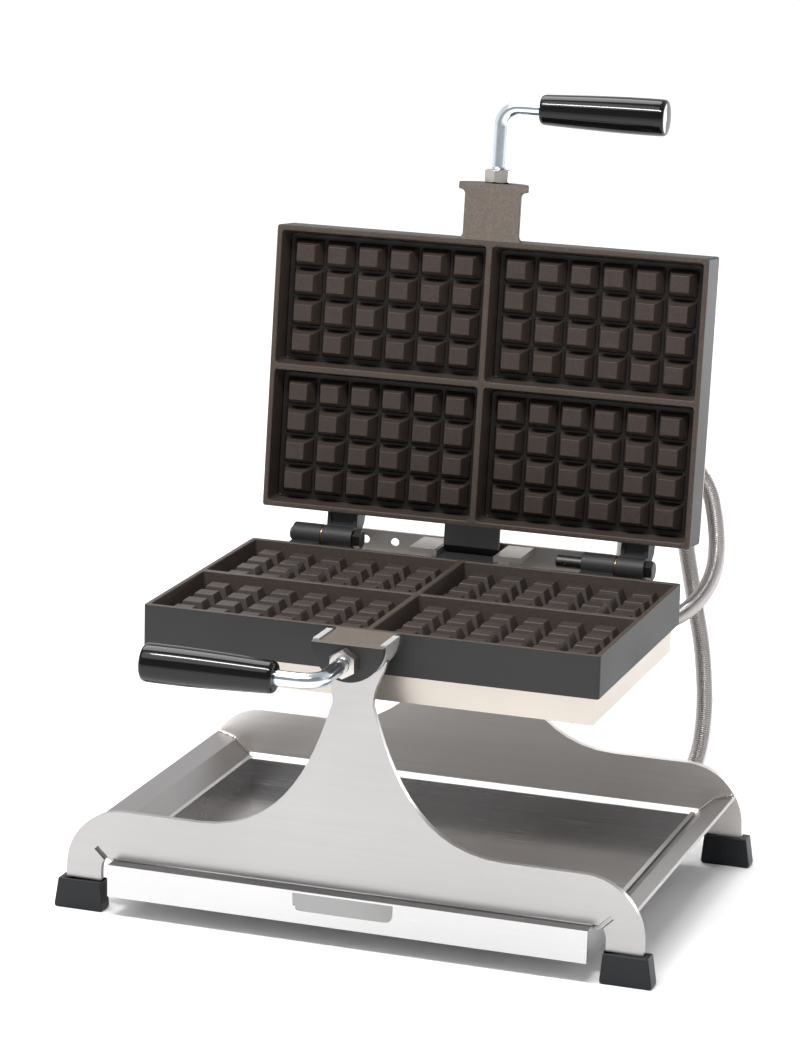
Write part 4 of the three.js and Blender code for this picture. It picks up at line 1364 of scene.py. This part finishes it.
def link_route():
    """From the lower heater cover, round to the right, and into the back of the lid."""
    inside = COVER_HIGH.y - PLATE_Y - 4.0
    level = COVER_LOW.z + COVER["conduit_height"]
    points = [
        (138, inside, level), (138, 116, level), (141.5, 130, 183.7), (150, 143, 185),
        (159.5, 157, 189), (166.5, 171, 195.5), (170.8, 184, 203.5), (172.6, 196.3, 213.5),
        (171.8, 207, 225), (169, 215.5, 240), (165, 221.5, 254), (160.5, 225.5, 266.5),
        (153.5, 227.5, 278), (146, 226, 286.5), (138, 220, 291.5),
    ]
    route = [Vector((x, y + PLATE_Y, z)) for x, y, z in points]
    height = PLATE["height"] + COVER["height"] + GAP
    behind = PLATE["half"][1] - LID_GLAND["from_rear"]
    end = lid_place() @ Vector((LID_GLAND["across"], behind, height))
    way = (lid_place().to_3x3() @ Vector((0, 0, 1))).normalized()
    return route + [end + way * 26 + Vector((3.8, 0, 0)), end + way * 17, end + way * 8, end - way]


def wound_conduit(route, pitch, rib):
    """A tube wound from interlocked strip, with a groove between its turns."""
    step = pitch / 5
    path = spread(smooth_curve(route), step)

    def radius(i, turn):
        phase = (i * step / pitch - turn) % 1.0
        crown = math.sin(math.pi * min(phase / 0.82, 1.0)) ** 0.45 if phase < 0.82 else 0.0
        return CONDUIT_RADIUS - rib * (1.0 - crown)

    return swept(path, radius, 20)


class WAFFLE_OT_conduits(bpy.types.Operator):
    """Builds the two flexible steel conduits"""

    bl_idname = "waffle_iron.conduits"
    bl_label = "Conduits"

    def execute(self, context):
        look = context.scene.waffle_iron_fittings
        strip = plated_steel("conduit_strip", look.conduit_colour, 0.3)
        pitch, rib = look.conduit_pitch / MM, look.conduit_rib / MM
        supply = make_piece("supply_conduit_visual", wound_conduit(supply_route(), pitch, rib),
                            [strip], None, ["supply_conduit"], 80.0)
        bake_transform(supply)
        link = make_piece("lid_link_conduit_visual", wound_conduit(link_route(), pitch, rib),
                          [strip], None, ["lid_link_conduit"], 80.0)
        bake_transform(link)
        return {"FINISHED"}


# ------------------------------------------------------------------ stage
def camera_matrix(look):
    """A camera at an angle about its aim, with a roll."""
    azimuth, elevation, roll = look.azimuth, look.elevation, look.roll
    back = Vector((
        math.sin(azimuth) * math.cos(elevation),
        -math.cos(azimuth) * math.cos(elevation),
        math.sin(elevation),
    ))
    right = (-back).cross(Vector((0, 0, 1))).normalized()
    up = right.cross(-back)
    across = right * math.cos(roll) + up * math.sin(roll)
    upward = up * math.cos(roll) - right * math.sin(roll)
    turn = Matrix((across, upward, back)).transposed().to_4x4()
    return Matrix.Translation(Vector(look.aim) + back * look.distance) @ turn


def add_light(light, place, way):
    """Puts a light in the scene, looking along a direction."""
    holder = bpy.data.objects.new(light.name, light)
    turn = Vector(way).to_track_quat("-Z", "Y").to_matrix().to_4x4()
    holder.matrix_world = Matrix.Translation(place) @ turn
    holder.visible_camera = False
    bpy.context.scene.collection.objects.link(holder)


def soft_box(name, place, aim, size, power):
    """A rectangular light that faces a point."""
    light = bpy.data.lights.new(name, "AREA")
    light.shape = "RECTANGLE"
    light.size, light.size_y = size
    light.energy = power
    add_light(light, place, Vector(aim) - Vector(place))


def broad_light(name, way, strength):
    """A distant light with wide, soft shadows."""
    light = bpy.data.lights.new(name, "SUN")
    light.energy = strength
    light.angle = math.radians(36)
    add_light(light, (0, 0, 2), way)


def studio_camera(look):
    lens = bpy.data.cameras.new("studio_camera")
    lens.lens = look.lens
    lens.sensor_width = 36.0
    lens.clip_start, lens.clip_end = 0.05, 60.0
    camera = bpy.data.objects.new("studio_camera", lens)
    camera.matrix_world = camera_matrix(look)
    bpy.context.scene.collection.objects.link(camera)
    bpy.context.scene.camera = camera


def studio_surround(look):
    """White behind and to the left of the machine, dimmer overhead and behind the camera."""
    world = bpy.data.worlds.new("studio_surround")
    world.use_nodes = True
    graph = Graph(world.node_tree)
    way = graph.node("ShaderNodeTexCoord", output="Generated")
    side, forward, upward = (
        graph.node("ShaderNodeSeparateXYZ", None, {0: way}, output=axis) for axis in "XYZ"
    )
    lit = graph.mask(forward + upward * 0.5 - side * 0.7, -0.3, 0.3)
    share = look.sky_front + lit * (1.0 - look.sky_front)
    share = share * (1.0 - graph.mask(upward, 0.2, 0.8) * 0.5)
    background = world.node_tree.nodes["Background"]
    background.inputs["Color"].default_value = (1.0, 1.0, 1.0, 1.0)
    graph.feed(background.inputs["Strength"], share * look.sky)
    bpy.context.scene.world = world


def studio_floor(look):
    """A pale sheet of paper that reaches past the horizon of the view."""
    floor = bmesh.new()
    bmesh.ops.create_grid(floor, x_segments=8, y_segments=8, size=24.0)
    mesh = bpy.data.meshes.new("studio_floor")
    floor.to_mesh(mesh)
    floor.free()
    paper = Finish("studio_paper", {"Roughness": 0.9, "Specular IOR Level": 0.0})
    pale, paler = tone(look.floor_colour, 0.995), tone(look.floor_colour)
    paper.set("Base Color", paper.mix(paper.noise(3.0), paler, pale))
    mesh.materials.append(paper.material)
    stage = bpy.data.objects.new("studio_floor", mesh)
    bpy.context.scene.collection.objects.link(stage)


class WAFFLE_OT_stage(bpy.types.Operator):
    """Sets up the camera, the soft lights and the pale floor"""

    bl_idname = "waffle_iron.stage"
    bl_label = "Stage"

    def execute(self, context):
        look = context.scene.waffle_iron_studio
        context.scene.view_settings.view_transform = "Standard"
        studio_camera(look)
        studio_surround(look)
        studio_floor(look)
        broad_light("key_light", (0.45, 0.6, -1.0), look.sun * 0.45)
        broad_light("back_light", (0.45, -0.4, -1.0), look.sun)
        soft_box("strip_light", (-0.1, -1.0, 2.0), (0, -0.2, 0.3), (1.6, 0.12), 48.0)
        soft_box("right_light", (1.5, 0.1, 0.75), (0, 0, 0.25), (0.5, 1.1), 0.8)
        soft_box("rear_light", (0.82, 1.5, 0.33), (0, 0, 0.24), (0.42, 0.4), 4.0)
        return {"FINISHED"}


# ------------------------------------------------------------------ add-on
OPERATORS = (
    WAFFLE_OT_stage,
    WAFFLE_OT_stand,
    WAFFLE_OT_feet,
    WAFFLE_OT_tray,
    WAFFLE_OT_castings,
    WAFFLE_OT_handles,
    WAFFLE_OT_hinges,
    WAFFLE_OT_heating,
    WAFFLE_OT_electrics,
    WAFFLE_OT_conduits,
)


class WAFFLE_PT_panel(bpy.types.Panel):
    """Lists the steps that build the waffle iron, and its settings"""

    bl_idname = "WAFFLE_PT_panel"
    bl_label = "Waffle Iron"
    bl_space_type = "VIEW_3D"
    bl_region_type = "UI"
    bl_category = "Waffle Iron"

    def draw(self, context):
        for operator in OPERATORS:
            self.layout.operator(operator.bl_idname)
        for name, group in SETTINGS.items():
            column = self.layout.box().column()
            for key in group.__annotations__:
                column.prop(getattr(context.scene, name), key)


def register():
    for group in SETTINGS.values():
        bpy.utils.register_class(group)
    for name, group in SETTINGS.items():
        setattr(bpy.types.Scene, name, bpy.props.PointerProperty(type=group))
    for operator in OPERATORS:
        bpy.utils.register_class(operator)
    bpy.utils.register_class(WAFFLE_PT_panel)


def unregister():
    bpy.utils.unregister_class(WAFFLE_PT_panel)
    for operator in reversed(OPERATORS):
        bpy.utils.unregister_class(operator)
    for name in SETTINGS:
        delattr(bpy.types.Scene, name)
    for group in reversed(SETTINGS.values()):
        bpy.utils.unregister_class(group)


def main():
    register()
    for operator in OPERATORS:
        group, name = operator.bl_idname.split(".")
        getattr(getattr(bpy.ops, group), name)()


if __name__ == "__main__":
    main()
